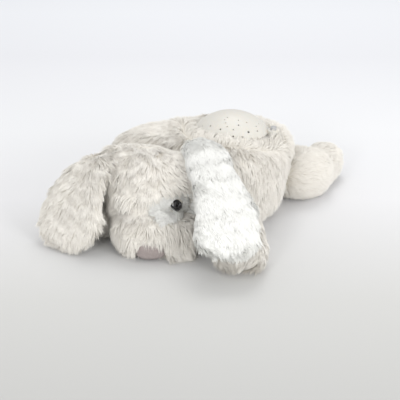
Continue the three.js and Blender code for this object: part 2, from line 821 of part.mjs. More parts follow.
function addBatteries() {
  const nubEnd = bayLength / 2 - 2 * seam - plateThickness;
  const springLength = bayLength / 2 + nubEnd - batteryLength - 2 * seam;
  const battery = moved(buildBattery(), vec(0, 0, nubEnd - batteryLength));
  const spring = moved(buildContactSpring(springLength), vec(0, 0, seam - bayLength / 2));
  const contact = block(plateWidth, plateWidth, nubEnd + seam, nubEnd + seam + plateThickness);
  batteryPlaces.forEach((x, k) => {
    const lay = (geometry) => geometry.clone().rotateX(-Math.PI / 2).rotateZ(k * Math.PI)
      .translate(x, 0, batteryHeight);
    addPiece(toy, `battery_${k + 1}`, lay(battery), materials.battery);
    addPiece(toy, `contact_spring_${k + 1}`, lay(spring), materials.steel);
    addPiece(toy, `contact_plate_${k + 1}`, lay(contact), materials.steel);
  });
}

// A quarter of an ellipse from its rim up to the axis
function bulge(radius, rise, low = 0) {
  const rim = [0, 30, 60].map((angle) =>
    [radius * Math.cos(radians(angle)), low + rise * Math.sin(radians(angle))]);
  return [...rim, [0, low + rise]];
}

function buildLamp() {
  const straight = lampLength - lampRadius;
  return revolve([
    [0, 0], [lampRimRadius, 0], [lampRimRadius, lampRimThickness],
    [lampRadius, lampRimThickness], ...bulge(lampRadius, lampRadius, straight),
  ], tinySides);
}

function addLightBoard() {
  const hole = rod(screwRadius + seam, boardHeight - overrun, boardTop + overrun, tinySides);
  const holes = postTurns.map((turn) => moved(hole, around(postReach, turn)));
  const board = cut(rod(boardRadius, boardHeight, boardTop, roundSides), ...holes);
  addPiece(toy, 'light_board', board, materials.board);
  counted(lampCount).forEach((k) => {
    const place = around(lampReach, (k * 360) / lampCount, boardTop + seam);
    addPiece(toy, `lamp_${k + 1}`, moved(buildLamp(), place), materials.lamp);
  });
  const chip = block(chipLength, chipWidth, boardTop + seam, boardTop + seam + chipThickness);
  addPiece(toy, 'timer_chip', moved(chip, around(postReach, chipTurn)), materials.chip);
  postTurns.forEach((turn, k) => {
    const down = screw(screwLength - boardThickness).rotateX(Math.PI);
    const place = around(postReach, turn, boardTop + seam);
    addPiece(toy, `board_screw_${k + 1}`, moved(down, place), materials.steel);
  });
  const lead = (points, steps) => tube(points, leadRadius, steps);
  addPiece(toy, 'battery_lead_red', lead(batteryLead(1), shortLeadSteps), materials.leadRed);
  addPiece(toy, 'battery_lead_black', lead(batteryLead(-1), shortLeadSteps), materials.leadBlack);
  addPiece(toy, 'switch_lead', lead(switchLead, longLeadSteps), materials.leadBlack);
}

// Switch below the button, and the button itself
const switchBoardTop = housingTop + 2 * seam + switchBoardThickness;
const switchTop = switchBoardTop + seam + switchThickness;

function buildSwitch() {
  const bodyLow = switchBoardTop + seam;
  const plunger = rod(plungerRadius, bodyLow, switchTop + seam, tinySides);
  return moved(join(block(switchSide, switchSide, bodyLow, switchTop), plunger), turretPlace);
}

function addButton() {
  const footTop = turretTop - turretLip - seam;
  const button = addBody(toy, turretPlace.clone().setZ(footTop));
  const dish = turretTop + buttonProud;
  const cap = revolve([
    [0, footTop - buttonFootThickness], [buttonFootRadius, footTop - buttonFootThickness],
    [buttonFootRadius, footTop], [buttonRadius, footTop], [buttonRadius, dish - seam],
    [buttonRadius - seam, dish], [0, dish],
  ], smallSides);
  addPiece(button, 'power_button', moved(cap, turretPlace), materials.button);
}

function addProjector() {
  const underFlange = housingTop - flangeThickness - seam;
  const liningRadius = housingRadius + seam;
  const liningTop = underFlange - screwHeadThickness - seam;
  addPiece(toy, 'star_dome', buildDome(), materials.dome);
  addPiece(toy, 'projector_housing', buildHousing(), materials.housing);
  addPiece(toy, 'pocket_lining',
    ring(liningRadius, liningRadius + liningThickness, housingBottom, liningTop, roundSides),
    materials.lining);
  bossTurns.forEach((turn, k) => {
    const place = around(bossReach, turn, underFlange);
    addPiece(toy, `housing_screw_${k + 1}`, moved(screw(), place), materials.steel);
  });
  const switchBoard = rod(switchBoardRadius, housingTop + 2 * seam, switchBoardTop, smallSides);
  addPiece(toy, 'switch_board', moved(switchBoard, turretPlace), materials.board);
  addPiece(toy, 'tact_switch', buildSwitch(), materials.chip);
  addButton();
  addLightBoard();
  addBatteries();
  addPiece(toy, 'battery_door', buildDoor(), materials.housing);
  const doorScrewHeight = housingBottom + screwHeadThickness / 2 - seam;
  const doorScrew = moved(screw(), doorScrewPlace.clone().setZ(doorScrewHeight));
  addPiece(toy, 'door_screw', doorScrew, materials.steel);
}

// Torso with the projector's pocket, its throat and the belly opening
// The opening runs from the door's front edge to behind its screw
const openingFront = bayLength / 2 + doorLap;
const openingBack = doorScrewPlace.y + doorTabRadius + seam;
const openingWidth = bayWidth + 2 * (doorLap + bellyMargin);
const flapWidth = openingWidth + 2 * flapMargin;
const flapLength = 2 * (openingFront + stripLength + 3 * sewnGap);
const flapHinge = { at: vec(0, flapLength / 2, 0), axis: vec(1, 0, 0) };
const stripPlace = -openingFront - sewnGap - stripLength / 2;

function pocketCutters() {
  const pocketRadius = housingRadius + liningThickness + 2 * seam;
  const chamberLow = housingTop - flangeThickness - screwHeadThickness - 3 * seam;
  const belly = housingBottom - seam;
  const top = torsoHeight + overrun;
  const bossHollow = rod(bossRadius + seam, flangeTop, flangeTop + bossHeight + seam, smallSides);
  return [
    rod(pocketRadius, belly, chamberLow + overrun, roundSides),
    rod(flangeRadius + seam, chamberLow, flangeTop + seam, roundSides),
    rod(domeRadius + seam, flangeTop, top, roundSides),
    moved(rod(turretRadius + seam, chamberLow, top, smallSides), turretPlace),
    ...bossTurns.map((turn) => moved(bossHollow, around(bossReach, turn))),
  ];
}

function bellyCutters() {
  const belly = housingBottom - seam;
  const opening = block(openingWidth, openingFront + openingBack, -overrun, belly + overrun);
  const [width, length] = [flapWidth, flapLength].map((size) => size + 2 * sewnGap);
  const stripTop = flapThickness + 2 * (seam + stripThickness) + seam;
  const stripHollow = block(stripWidth + 2 * sewnGap, stripLength + 2 * sewnGap, 0, stripTop);
  return [
    moved(opening, vec(0, (openingBack - openingFront) / 2, 0)),
    plate(width, length, flapCornerRadius, -overrun, flapThickness + seam),
    moved(stripHollow, vec(0, stripPlace, 0)),
  ];
}

function addBellyFlap() {
  const body = addBody(toy, flapHinge.at);
  const strip = (low) =>
    block(stripWidth, stripLength, low, low + stripThickness).translate(0, stripPlace, 0);
  const flap = plate(flapWidth, flapLength, flapCornerRadius, 0, flapThickness);
  const loopLow = flapThickness + seam;
  const hookLow = loopLow + stripThickness + seam;
  addPiece(body, 'belly_flap', flap, materials.beigeFur);
  addPiece(body, 'loop_strip', strip(loopLow), materials.hookAndLoop);
  addPiece(toy, 'hook_strip', strip(hookLow), materials.hookAndLoop);
}

// Head with its eyes, eye patch and nose
function eyePlace(head, side) {
  const from = headPoint(0, 0, eyeHeight);
  const turn = radians(eyeSpread);
  const direction = headDirection(side * Math.sin(turn), -Math.cos(turn), 0);
  const at = leavePoint(head, from, direction);
  const across = zAxis.clone().cross(direction);
  const aim = new THREE.Matrix4().makeBasis(across, zAxis, direction);
  return new THREE.Matrix4().makeTranslation(at.x, at.y, at.z).multiply(aim);
}

// An eye looks along +Z, with its rim on height 0 and its shank below
function eyeShape(grow) {
  return revolve([
    [0, -eyeShankLength - grow], [eyeShankRadius + grow, -eyeShankLength - grow],
    [eyeShankRadius + grow, -eyeRimThickness - grow], [eyeRadius + grow, -eyeRimThickness - grow],
    ...bulge(eyeRadius + grow, eyeBulge + grow),
  ], smallSides);
}

const washerPlace = -(eyeRimThickness + eyeShankLength) / 2;
const washerTop = washerPlace + washerThickness;
const washerBore = eyeShankRadius + seam;
const washerShape = ring(washerBore, washerRadius, washerPlace, washerTop, smallSides);
const washerHollow = rod(washerRadius + seam, washerPlace - seam, washerTop + seam, smallSides);

function buildPatch(place) {
  const outline = new THREE.Shape();
  outline.absellipse(0, 0, patchWidth / 2, patchHeight / 2, 0, 2 * Math.PI);
  const depth = 2 * eyeShankLength;
  const options = { depth, bevelEnabled: false, curveSegments: patchSegments };
  const prism = new THREE.ExtrudeGeometry(outline, options)
    .translate(-patchInward, 0, -depth / 2)
    .applyMatrix4(place);
  const hole = rod(eyeRadius + 2 * seam, -depth, depth, smallSides).applyMatrix4(place);
  return cut(common(prism, headHull(seam + patchThickness)), headHull(seam), hole);
}

function nosePlace(head) {
  const from = headPoint(0, 0, noseHeight);
  return leavePoint(head, from, headDirection(0, -1, 0));
}

function noseForm(head) {
  const tip = nosePlace(head);
  const across = headDirection(1, 0, 0);
  const inward = headDirection(0, 1, 0).multiplyScalar(noseHalfDepth / 2);
  return {
    spine: [-1, 0, 1].map((share) =>
      tip.clone().add(inward).addScaledVector(across, share * noseHalfWidth)),
    wide: [noseHalfDepth, noseHalfDepth],
    tall: [noseHalfHeight, noseHalfHeight],
    sides: 14,
    rings: 7,
  };
}

function buildEar(side) {
  const torsoSweep = swept(torsoHull(seam), neckHinge, 0, headLift);
  const passed = [headHull(seam), torsoSweep].map((hull) => swept(hull, earHinge(side), 0, earLift));
  return cut(onTable(stuffedForm(earForm(side))), ...passed, stuffedForm(forelegForm(side), seam));
}

function addHead() {
  const head = addBody(toy, neckHinge.at);
  const whole = headHull(0);
  const torsoSweep = swept(torsoHull(seam), neckHinge, 0, headLift);
  const eyes = [1, -1].map((side) => eyePlace(whole, side));
  const hollows = eyes.flatMap((place) => [
    eyeShape(seam).applyMatrix4(place), washerHollow.clone().applyMatrix4(place)]);
  const nose = noseForm(whole);
  const skull = cut(onTable(whole), torsoSweep, stuffedForm(nose, seam), ...hollows);
  addPiece(head, 'head', skull, materials.beigeFur);
  addPiece(head, 'nose', onTable(stuffedForm(nose)), materials.noseVelour);
  ['left', 'right'].forEach((name, k) => {
    addPiece(head, `eye_${name}`, eyeShape(0).applyMatrix4(eyes[k]), materials.eye);
    addPiece(head, `eye_washer_${name}`, washerShape.clone().applyMatrix4(eyes[k]), materials.washer);
  });
  addPiece(head, 'eye_patch_left', buildPatch(eyes[0]), materials.whiteFur);
  addEar(head, 'ear_left', 1, materials.whiteFur);
  addEar(head, 'ear_right', -1, materials.beigeFur);
}

function addEar(head, name, side, finish) {
  const body = addBody(head, earHinge(side).at);
  addPiece(body, name, buildEar(side), finish);
}

// Legs and tail
function addLimb(name, form, hinge, [low, high], neighbours) {
  const limb = addBody(toy, hinge.at);
  const torsoSweep = swept(torsoHull(seam), hinge, low, high);
  const stuffed = cut(onTable(stuffedForm(form)), torsoSweep, ...neighbours);
  addPiece(limb, name, stuffed, materials.beigeFur);
}

function addLegs(headSwings) {
  [1, -1].forEach((side) => {
    const name = side > 0 ? 'left' : 'right';
    const headSweeps = swept(headSwings, forelegHinge(side), 0, legDroop);
    addLimb(`foreleg_${name}`, forelegForm(side), forelegHinge(side), [0, legDroop], [headSweeps]);
    addLimb(`hind_leg_${name}`, hindLegForm(side), hindLegHinge(side), [0, legDroop], []);
  });
}

function build() {
  const torso = cut(onTable(torsoHull(0)), ...pocketCutters(), ...bellyCutters());
  addPiece(toy, 'torso', torso, materials.beigeFur);
  addProjector();
  addBellyFlap();
  addHead();
  addLegs(headSweep(sweptGap));
  addLimb('tail', tailForm, tailHinge, [-tailSwing, tailSwing], []);
}

build();

export default toy;
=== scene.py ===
# %% [markdown]
# # A plush puppy with a star projector in its back
# The puppy lies flat on its belly. Its cover is long-pile plush over soft stuffing, one ear is
# white, and a cream plastic dome with star holes sits in its back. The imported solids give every
# size and place, so this lesson only adds the looks: skins, pile, plastics, floor and light.
# Lengths are in metres, +Z is up, +Y points to the tail and +X is the puppy's left side.

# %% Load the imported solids
import json
import math

import bpy
import numpy as np
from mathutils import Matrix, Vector
from mathutils.bvhtree import BVHTree
from mathutils.kdtree import KDTree


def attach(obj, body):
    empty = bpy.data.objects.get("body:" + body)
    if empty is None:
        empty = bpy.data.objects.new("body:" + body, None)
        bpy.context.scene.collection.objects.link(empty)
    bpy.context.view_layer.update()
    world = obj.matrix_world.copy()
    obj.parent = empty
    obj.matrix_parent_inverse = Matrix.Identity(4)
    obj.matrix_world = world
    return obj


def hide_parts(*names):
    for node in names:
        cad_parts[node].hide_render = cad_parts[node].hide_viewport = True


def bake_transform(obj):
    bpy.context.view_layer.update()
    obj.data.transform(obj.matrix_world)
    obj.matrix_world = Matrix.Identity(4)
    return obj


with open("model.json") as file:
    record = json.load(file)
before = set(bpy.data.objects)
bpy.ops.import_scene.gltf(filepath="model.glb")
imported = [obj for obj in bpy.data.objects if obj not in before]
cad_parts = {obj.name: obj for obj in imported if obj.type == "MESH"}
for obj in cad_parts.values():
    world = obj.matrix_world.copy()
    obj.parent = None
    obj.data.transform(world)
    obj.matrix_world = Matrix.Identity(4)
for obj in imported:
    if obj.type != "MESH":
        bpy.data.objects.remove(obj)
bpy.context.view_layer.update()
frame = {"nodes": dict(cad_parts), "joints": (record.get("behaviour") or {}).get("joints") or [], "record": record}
MM = 0.001
scene = bpy.context.scene
JOINTS = {joint["name"]: joint for joint in frame["joints"]}

# %% [markdown]
# ## The camera
# The photograph looks down by 25 degrees at the puppy's face from its front left. The place and
# the lens were found by matching the outlines of the solids to the picture, so they are typed in.

# %% Place the camera
CAMERA_PLACE = (0.422, -0.734, 0.400)
CAMERA_TILT = (math.radians(65), 0, math.radians(32))
LENS, SENSOR = 81, 36  # millimetres
bpy.ops.object.camera_add(location=CAMERA_PLACE, rotation=CAMERA_TILT)
camera = bpy.context.object
camera.data.lens, camera.data.sensor_width = LENS, SENSOR
scene.camera = camera
scene.view_settings.view_transform = "Standard"
print("camera at", CAMERA_PLACE)


# %% [markdown]
# ## Colours and material helpers
# Colours are written as on a paint chart, in sRGB, and turned to the linear values that a shader
# works in. One helper adds any kind of node with its settings and links, which keeps each
# material short enough to read as a recipe.

# %% Helpers for colours, nodes and materials
def colour(code):
    """A #rrggbb code as a linear colour."""
    channels = [int(code[i:i + 2], 16) / 255 for i in (1, 3, 5)]
    linear = [c / 12.92 if c <= 0.04045 else ((c + 0.055) / 1.055) ** 2.4 for c in channels]
    return (*linear, 1.0)


def add_node(tree, kind, inputs=None, stops=(), **settings):
    """Adds a node; an input takes a value or a socket to link, and stops are a ramp's colours."""
    made = tree.nodes.new(kind)
    for name, value in settings.items():
        setattr(made, name, value)
    for name, value in (inputs or {}).items():
        if isinstance(value, bpy.types.NodeSocket):
            tree.links.new(value, made.inputs[name])
        else:
            made.inputs[name].default_value = value
    for k, (share, code) in enumerate(stops):
        ramp = made.color_ramp.elements
        stop = ramp[k] if k < 2 else ramp.new(share)
        stop.position, stop.color = share, colour(code)
    return made


def new_material(name, **values):
    """A material with its main shader's plain values set."""
    material = bpy.data.materials.new(name)
    material.use_nodes = True
    shader = material.node_tree.nodes["Principled BSDF"]
    for socket, value in values.items():
        shader.inputs[socket.replace("_", " ")].default_value = value
    return material, material.node_tree, shader


print("beige, linear:", colour("#eae6de"))


# %% [markdown]
# ## Pile
# Plush pile is fine acrylic or polyester hair. It is matt, and it shines softly where it is seen
# edge on. Little light gets in at its roots, and that shade is painted into the colour. Each lock
# carries a map with its length along V and a number of its own along U, so one ramp paints shade
# on the roots and another shifts the tone from lock to lock.

# %% Pile materials
TONE_DRIFT = 14 * MM  # the distance over which the pile's tone changes


def pile_material(name, root, tip, shade, light):
    """Pile with painted shade at its roots that lightens to the tip colour, and a tone that changes at random
    between locks.
    """
    material, tree, shader = new_material(name, Roughness=0.85, Sheen_Weight=0.25, Sheen_Roughness=0.6)
    along = add_node(tree, "ShaderNodeUVMap", uv_map="Along").outputs["UV"]
    parts = add_node(tree, "ShaderNodeSeparateXYZ", {"Vector": along}).outputs
    # Painted shade: the root colour is darker than the tip, for the little light that reaches the roots
    length = add_node(tree, "ShaderNodeValToRGB", {"Fac": parts["Y"]}, ((0, root), (1, tip)))
    place = add_node(tree, "ShaderNodeTexCoord").outputs["Object"]
    patches = add_node(tree, "ShaderNodeTexNoise", {"Vector": place, "Scale": 1 / TONE_DRIFT, "Detail": 2})
    both = add_node(tree, "ShaderNodeMath", {0: parts["X"], 1: patches.outputs["Fac"]}, operation="ADD")
    half = add_node(tree, "ShaderNodeMath", {0: both.outputs[0], 1: 0.5}, operation="MULTIPLY")
    tone = add_node(tree, "ShaderNodeValToRGB", {"Fac": half.outputs[0]}, ((0, shade), (1, light)))
    mixed = add_node(tree, "ShaderNodeMix", {0: 1.0, 6: length.outputs["Color"], 7: tone.outputs["Color"]},
                     data_type="RGBA", blend_type="MULTIPLY")
    tree.links.new(mixed.outputs[2], shader.inputs["Base Color"])
    return material


# Each pile's root colour is painted shade; its tip colour is the pile's own
PILE = {
    "beige_fur": pile_material("plush pile, beige acrylic", "#eae6de", "#f8f5ef", "#f8f7f5", "#ffffff"),
    "white_fur": pile_material("plush pile, white acrylic", "#efefec", "#f1f1ee", "#fdfdfc", "#ffffff"),
    # The velour's own grey mauve is darkened further: painted shade from the muzzle that hangs over the nose
    "nose_velour": pile_material("velour pile, grey mauve", "#8f8582", "#b0a6a3", "#eeecec", "#ffffff"),
}
print("pile materials:", sorted(PILE))

# %% [markdown]
# ## Backing
# The pile is tied into a knitted cloth, whose loops are 1.2 mm apart and show as a faint relief.
# Plastics and steel share this recipe: two close tones in soft patches over a fine grain.

# %% Backing materials
def two_tones(tree, shader, share, height, base, light, depth_mm):
    """A colour that runs from base to light, over a relief of the given depth."""
    tone = add_node(tree, "ShaderNodeValToRGB", {"Fac": share}, ((0, base), (1, light)))
    tree.links.new(tone.outputs["Color"], shader.inputs["Base Color"])
    bump = add_node(tree, "ShaderNodeBump", {"Height": height, "Distance": depth_mm * MM, "Strength": 1.0})
    tree.links.new(bump.outputs["Normal"], shader.inputs["Normal"])


def surface(name, base, light, tone_mm, grain_mm, depth_mm, detail=2, **values):
    """Two close tones in soft patches, under a relief of fine grain."""
    material, tree, shader = new_material(name, **values)
    place = add_node(tree, "ShaderNodeTexCoord").outputs["Object"]
    patches, relief = (
        add_node(tree, "ShaderNodeTexNoise", {"Vector": place, "Scale": 1 / (size * MM), "Detail": fine})
        for size, fine in ((tone_mm, 2), (grain_mm, detail)))
    two_tones(tree, shader, patches.outputs["Fac"], relief.outputs["Fac"], base, light, depth_mm)
    return material


BACKING = {
    slot: surface(name, base, light, tone_mm=3, grain_mm=1.2, depth_mm=0.4,
                  Roughness=0.95, Sheen_Weight=0.2, Sheen_Roughness=0.6)
    for slot, name, base, light in (
        ("beige_fur", "plush backing, beige knit", "#dcd6ca", "#e8e3d9"),
        ("white_fur", "plush backing, white knit", "#f4f3f0", "#fbfaf8"),
        ("nose_velour", "velour backing, grey mauve", "#978c89", "#aca19e"))
}
print("backings:", sorted(BACKING))


# %% [markdown]
# ## Skins
# Each limb of a soft toy is a sewn bag that its stuffing rounds out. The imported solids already
# have those rounded forms, cut where they meet, so a skin is a copy of its solid: its triangles
# are merged, remeshed evenly, smoothed as stuffing smooths cloth, and pushed in and out a little
# by a cloudy texture, because stuffing is never quite even. Under a pile of 12 mm a cloth
# simulation would not show, so the skin is shaped by these modifiers alone.

# %% Helpers for skins
def select_only(piece):
    bpy.ops.object.select_all(action="DESELECT")
    piece.select_set(True)
    bpy.context.view_layer.objects.active = piece


def set_mode(name):
    bpy.ops.object.mode_set(mode=name)


def edit_points(piece, numbers):
    """Selects these points alone, and leaves edit mode on."""
    select_only(piece)
    set_mode("EDIT")
    bpy.ops.mesh.select_mode(type="VERT")
    bpy.ops.mesh.select_all(action="DESELECT")
    set_mode("OBJECT")
    for k in numbers:
        piece.data.vertices[k].select = True
    set_mode("EDIT")


def apply_modifier(piece, kind, **settings):
    """Adds one modifier and applies it at once."""
    select_only(piece)
    modifier = piece.modifiers.new(kind.title(), kind)
    for name, value in settings.items():
        setattr(modifier, name, value)
    bpy.ops.object.modifier_apply(modifier=modifier.name)


def merged_copy(name, node):
    """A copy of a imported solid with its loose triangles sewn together."""
    piece = bpy.data.objects.new(name, frame["nodes"][node].data.copy())
    scene.collection.objects.link(piece)
    select_only(piece)
    set_mode("EDIT")
    bpy.ops.mesh.select_all(action="SELECT")
    bpy.ops.mesh.remove_doubles(threshold=0.01 * MM)
    set_mode("OBJECT")
    piece.data.materials.clear()
    return piece


# %% One skin from one solid
clouds = bpy.data.textures.new("uneven stuffing", "CLOUDS")
clouds.noise_scale = 22 * MM
clouds.noise_depth = 1


def make_skin(name, node, slot, voxel_mm=2.6, smooth=6, lumps_mm=1.2):
    """The sewn cloth over one solid."""
    skin = merged_copy(name, node)
    apply_modifier(skin, "REMESH", mode="VOXEL", voxel_size=voxel_mm * MM)
    apply_modifier(skin, "SMOOTH", factor=0.5, iterations=smooth)
    if lumps_mm:
        apply_modifier(skin, "DISPLACE", texture=clouds, strength=lumps_mm * MM, mid_level=0.6)
    skin.data.materials.append(BACKING[slot])
    bpy.ops.object.shade_smooth()
    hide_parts(node)
    return skin


# %% [markdown]
# ## How pile is laid
# A hair system can't leave Blender as a solid, so the pile is real mesh: short tapered locks
# with three sides, each set on a random point of the skin. Locks next to each other lean into
# a common tip, and their lean drifts slowly over the skin, which gives the tufts of brushed
# plush. They are written straight from number arrays, because operators would take far too
# long for 174,000 locks.

# %% Helpers for points and directions
def unit(vectors):
    return vectors / np.maximum(np.linalg.norm(vectors, axis=-1, keepdims=True), 1e-12)


def fade(values, start, span):
    """0 at start and 1 at start + span, level beyond both; the span may be negative."""
    return np.clip((values - start) / span, 0, 1)


def keep(mask, *arrays):
    return [a[mask] for a in arrays]


def points_on(piece, per_mm2, own):
    """Random points on a piece, with the skin's own smooth normals."""
    mesh = piece.data
    mesh.calc_loop_triangles()
    corners = np.empty(len(mesh.loop_triangles) * 3, np.int32)
    mesh.loop_triangles.foreach_get("vertices", corners)
    corners = corners.reshape(-1, 3)
    places, normals = np.empty((2, len(mesh.vertices) * 3), np.float32)
    mesh.vertices.foreach_get("co", places)
    mesh.vertices.foreach_get("normal", normals)
    places, normals = (flat.reshape(-1, 3).astype(float) for flat in (places, normals))
    a, b, c = (places[corners[:, k]] for k in range(3))
    areas = np.linalg.norm(np.cross(b - a, c - a), axis=1) / 2
    count = int(areas.sum() / MM ** 2 * per_mm2)
    face = own.choice(len(areas), count, p=areas / areas.sum())
    r1, r2 = np.sqrt(own.random(count)), own.random(count)
    shares = np.stack([1 - r1, r1 * (1 - r2), r1 * r2], 1)[:, :, None]
    return (places[corners[face]] * shares).sum(1), unit((normals[corners[face]] * shares).sum(1))


def drift(points, size_mm, seed):
    """A smooth random vector for each point, which changes over about size_mm."""
    waves = np.random.default_rng(seed)
    total = np.zeros_like(points)
    for _ in range(6):
        way = unit(waves.normal(size=3)) * 2 * np.pi / (size_mm * MM) * waves.uniform(0.6, 1.4)
        total += np.sin(points @ way + waves.uniform(0, 2 * np.pi))[:, None] * unit(waves.normal(size=3))
    return total / 2.4


# %% Helpers that find neighbours
def nearest_of(points, centres):
    """For each point, the number of the nearest centre."""
    tree = KDTree(len(centres))
    for k, place in enumerate(centres):
        tree.insert(place, k)
    tree.balance()
    return np.array([tree.find(p)[1] for p in points])


def trees_of(pieces):
    """One search tree per piece, to find what lies in the way of the pile."""
    found = {}
    for piece in pieces:
        vertices = [v.co for v in piece.data.vertices]
        faces = [tuple(p.vertices) for p in piece.data.polygons]
        found[piece.name] = BVHTree.FromPolygons(vertices, faces)
    return found


def clear_of(roots, normals, trees):
    """Which roots have free room over them; each tree comes with the room that it asks for."""
    free = np.ones(len(roots), bool)
    for k, (root, normal) in enumerate(zip(roots, normals)):
        start = Vector(root + normal * 0.5 * MM)
        way = Vector(normal)
        free[k] = all(tree.ray_cast(start, way, reach_mm * MM)[0] is None for tree, reach_mm in trees)
    return free


# %% Lay the locks as one mesh
LOCK_POINTS = 7  # three at the root, three at the middle and the tip
LOCK_SIDES = np.array([[1, 0, 3, 4], [2, 1, 4, 5], [0, 2, 5, 3]])
LOCK_ENDS = np.array([[4, 3, 6], [5, 4, 6], [3, 5, 6], [2, 0, 1]])
# Where each corner of a lock lies in its own cell of the colour map
CELL_PLACES = np.array([[0.1, 0.1], [0.5, 0.04], [0.9, 0.1],
                        [0.1, 0.5], [0.5, 0.5], [0.9, 0.5], [0.5, 0.96]])
LOCK_HEIGHTS = np.array([0, 0, 0, 0.5, 0.5, 0.5, 1.0])


def add_map(mesh, name, places):
    mesh.uv_layers.new(name=name).uv.foreach_set("vector", places.astype(np.float32).ravel())


def lock_mesh(name, root, middle, tip, width, numbers, normals):
    """Closed three-sided locks from root through middle to tip, their flat side on the skin."""
    count = len(root)
    way = unit(middle - root)
    across = unit(np.cross(way, normals + 0.3 * unit(tip - middle)[:, [1, 2, 0]]))
    above = np.cross(across, way)
    half = width[:, None] / 2
    corners = np.stack([
        root - across * half, root + across * half, root + above * half,
        middle - across * half, middle + across * half, middle + above * half * 0.8, tip], 1)
    first = LOCK_POINTS * np.arange(count)[:, None, None]
    sides = (LOCK_SIDES[None] + first).reshape(-1, 4)
    ends = (LOCK_ENDS[None] + first).reshape(-1, 3)
    loops = np.concatenate([sides.ravel(), ends.ravel()])
    sizes = np.concatenate([np.full(len(sides), 4), np.full(len(ends), 3)])
    starts = np.concatenate([[0], np.cumsum(sizes)[:-1]])
    mesh = bpy.data.meshes.new(name)
    mesh.vertices.add(LOCK_POINTS * count)
    mesh.vertices.foreach_set("co", corners.reshape(-1).astype(np.float32))
    mesh.loops.add(len(loops))
    mesh.loops.foreach_set("vertex_index", loops.astype(np.int32))
    mesh.polygons.add(len(sizes))
    mesh.polygons.foreach_set("loop_start", starts.astype(np.int32))
    mesh.update(calc_edges=True)
    mesh.polygons.foreach_set("use_smooth", np.ones(len(sizes), bool))
    lock, corner = loops // LOCK_POINTS, loops % LOCK_POINTS
    add_map(mesh, "Along", np.stack([numbers[lock], LOCK_HEIGHTS[corner]], 1))
    grid = int(math.ceil(math.sqrt(count)))
    cell = np.stack([lock % grid, lock // grid], 1)
    add_map(mesh, "OFBake", (cell + CELL_PLACES[corner]) / grid)
    mesh.validate()
    # Locks are shaded round, with some of the skin's own direction mixed in, or they would glitter
    soft = 0.6 * normals
    facing = np.stack([soft - across, soft + across, soft + above] * 2 + [soft + above], 1)
    on_sides, on_ends = facing[:, LOCK_SIDES], facing[:, LOCK_ENDS]
    on_sides[:, 0] = -above[:, None]
    on_ends[:, 0] = -above[:, None]
    on_ends[:, 3] = -way[:, None]
    both = np.concatenate([on_sides.reshape(-1, 3), on_ends.reshape(-1, 3)])
    mesh.normals_split_custom_set(unit(both).tolist())
    return mesh


# %% Comb the locks
LOCKS_PER_PIECE = 19000  # ten triangles each, so that a piece stays under 200,000
ROOT_DEPTH = 0.7 * MM    # roots start below the skin
STRAY = 0.35 * MM        # how far a tip strays from its tuft
FLOOR_GAP = 0.3 * MM     # the floor bends the pile up, and no lock lies lower than this


def grow_pile(name, roots, normals, flow, length_mm, slot, width_mm=0.65, lift=0.45, curl=0.5,
              tuft_mm=6.0, gather=0.22, droop=0.25, seed=1, density=1.0):
    """Locks of pile on the given roots, combed along flow, as one or more pieces.

    lift raises a lock from the skin, curl lays its tip down again, gather draws the tips of a
    tuft together and droop is the weight of the tips.
    """
    own = np.random.default_rng(seed)
    count = len(roots)
    lift, curl = (np.broadcast_to(np.asarray(v, float), (count,))[:, None] for v in (lift, curl))
    length = np.broadcast_to(np.asarray(length_mm, float), (count,)) * MM
    length = length * (1 + 0.12 * own.normal(size=count)).clip(0.6, 1.4)
    flow = unit(flow - (flow * normals).sum(1, keepdims=True) * normals)
    sway = drift(roots, 26, seed + 100) * 0.55 + drift(roots, 9, seed + 200) * 0.4
    sway -= (sway * normals).sum(1, keepdims=True) * normals
    lean = unit(flow + sway)
    rise = (lift + 0.16 * drift(roots, 12, seed + 300)[:, :1]).clip(0.15, 2.5)
    start = unit(normals * rise + lean)
    end = unit(normals * rise * (1 - curl) + lean - np.array([0, 0, droop]))
    root = roots - normals * ROOT_DEPTH
    middle = root + start * length[:, None] * 0.5
    tip = middle + end * length[:, None] * 0.5
    tufts = own.choice(count, max(1, int(count / (density * tuft_mm ** 2))), replace=False)
    near = nearest_of(roots, roots[tufts])
    leader = tufts[near]
    pull = gather * (0.7 + 0.3 * own.random(count))[:, None]
    tip = tip * (1 - pull) + tip[leader] * pull
    middle = middle * (1 - pull * 0.45) + middle[leader] * pull * 0.45
    tip += own.normal(size=tip.shape) * STRAY
    for points in (tip, middle, root):
        points[:, 2] = np.maximum(points[:, 2], FLOOR_GAP)
    width = width_mm * MM * (0.75 + 0.5 * own.random(count))
    numbers = (0.5 * own.random(len(tufts))[near] + 0.5 * own.random(count)).clip(0.01, 0.99)
    pieces = []
    parts = max(1, math.ceil(count / LOCKS_PER_PIECE))
    for k in range(parts):
        mine = np.arange(k, count, parts)
        label = f"{name}_{k + 1}" if parts > 1 else name
        mesh = lock_mesh(label, *keep(mine, root, middle, tip, width, numbers, normals))
        piece = bpy.data.objects.new(label, mesh)
        scene.collection.objects.link(piece)
        mesh.materials.append(PILE[slot])
        pieces.append(piece)
    print(name, count, "locks")
    return pieces
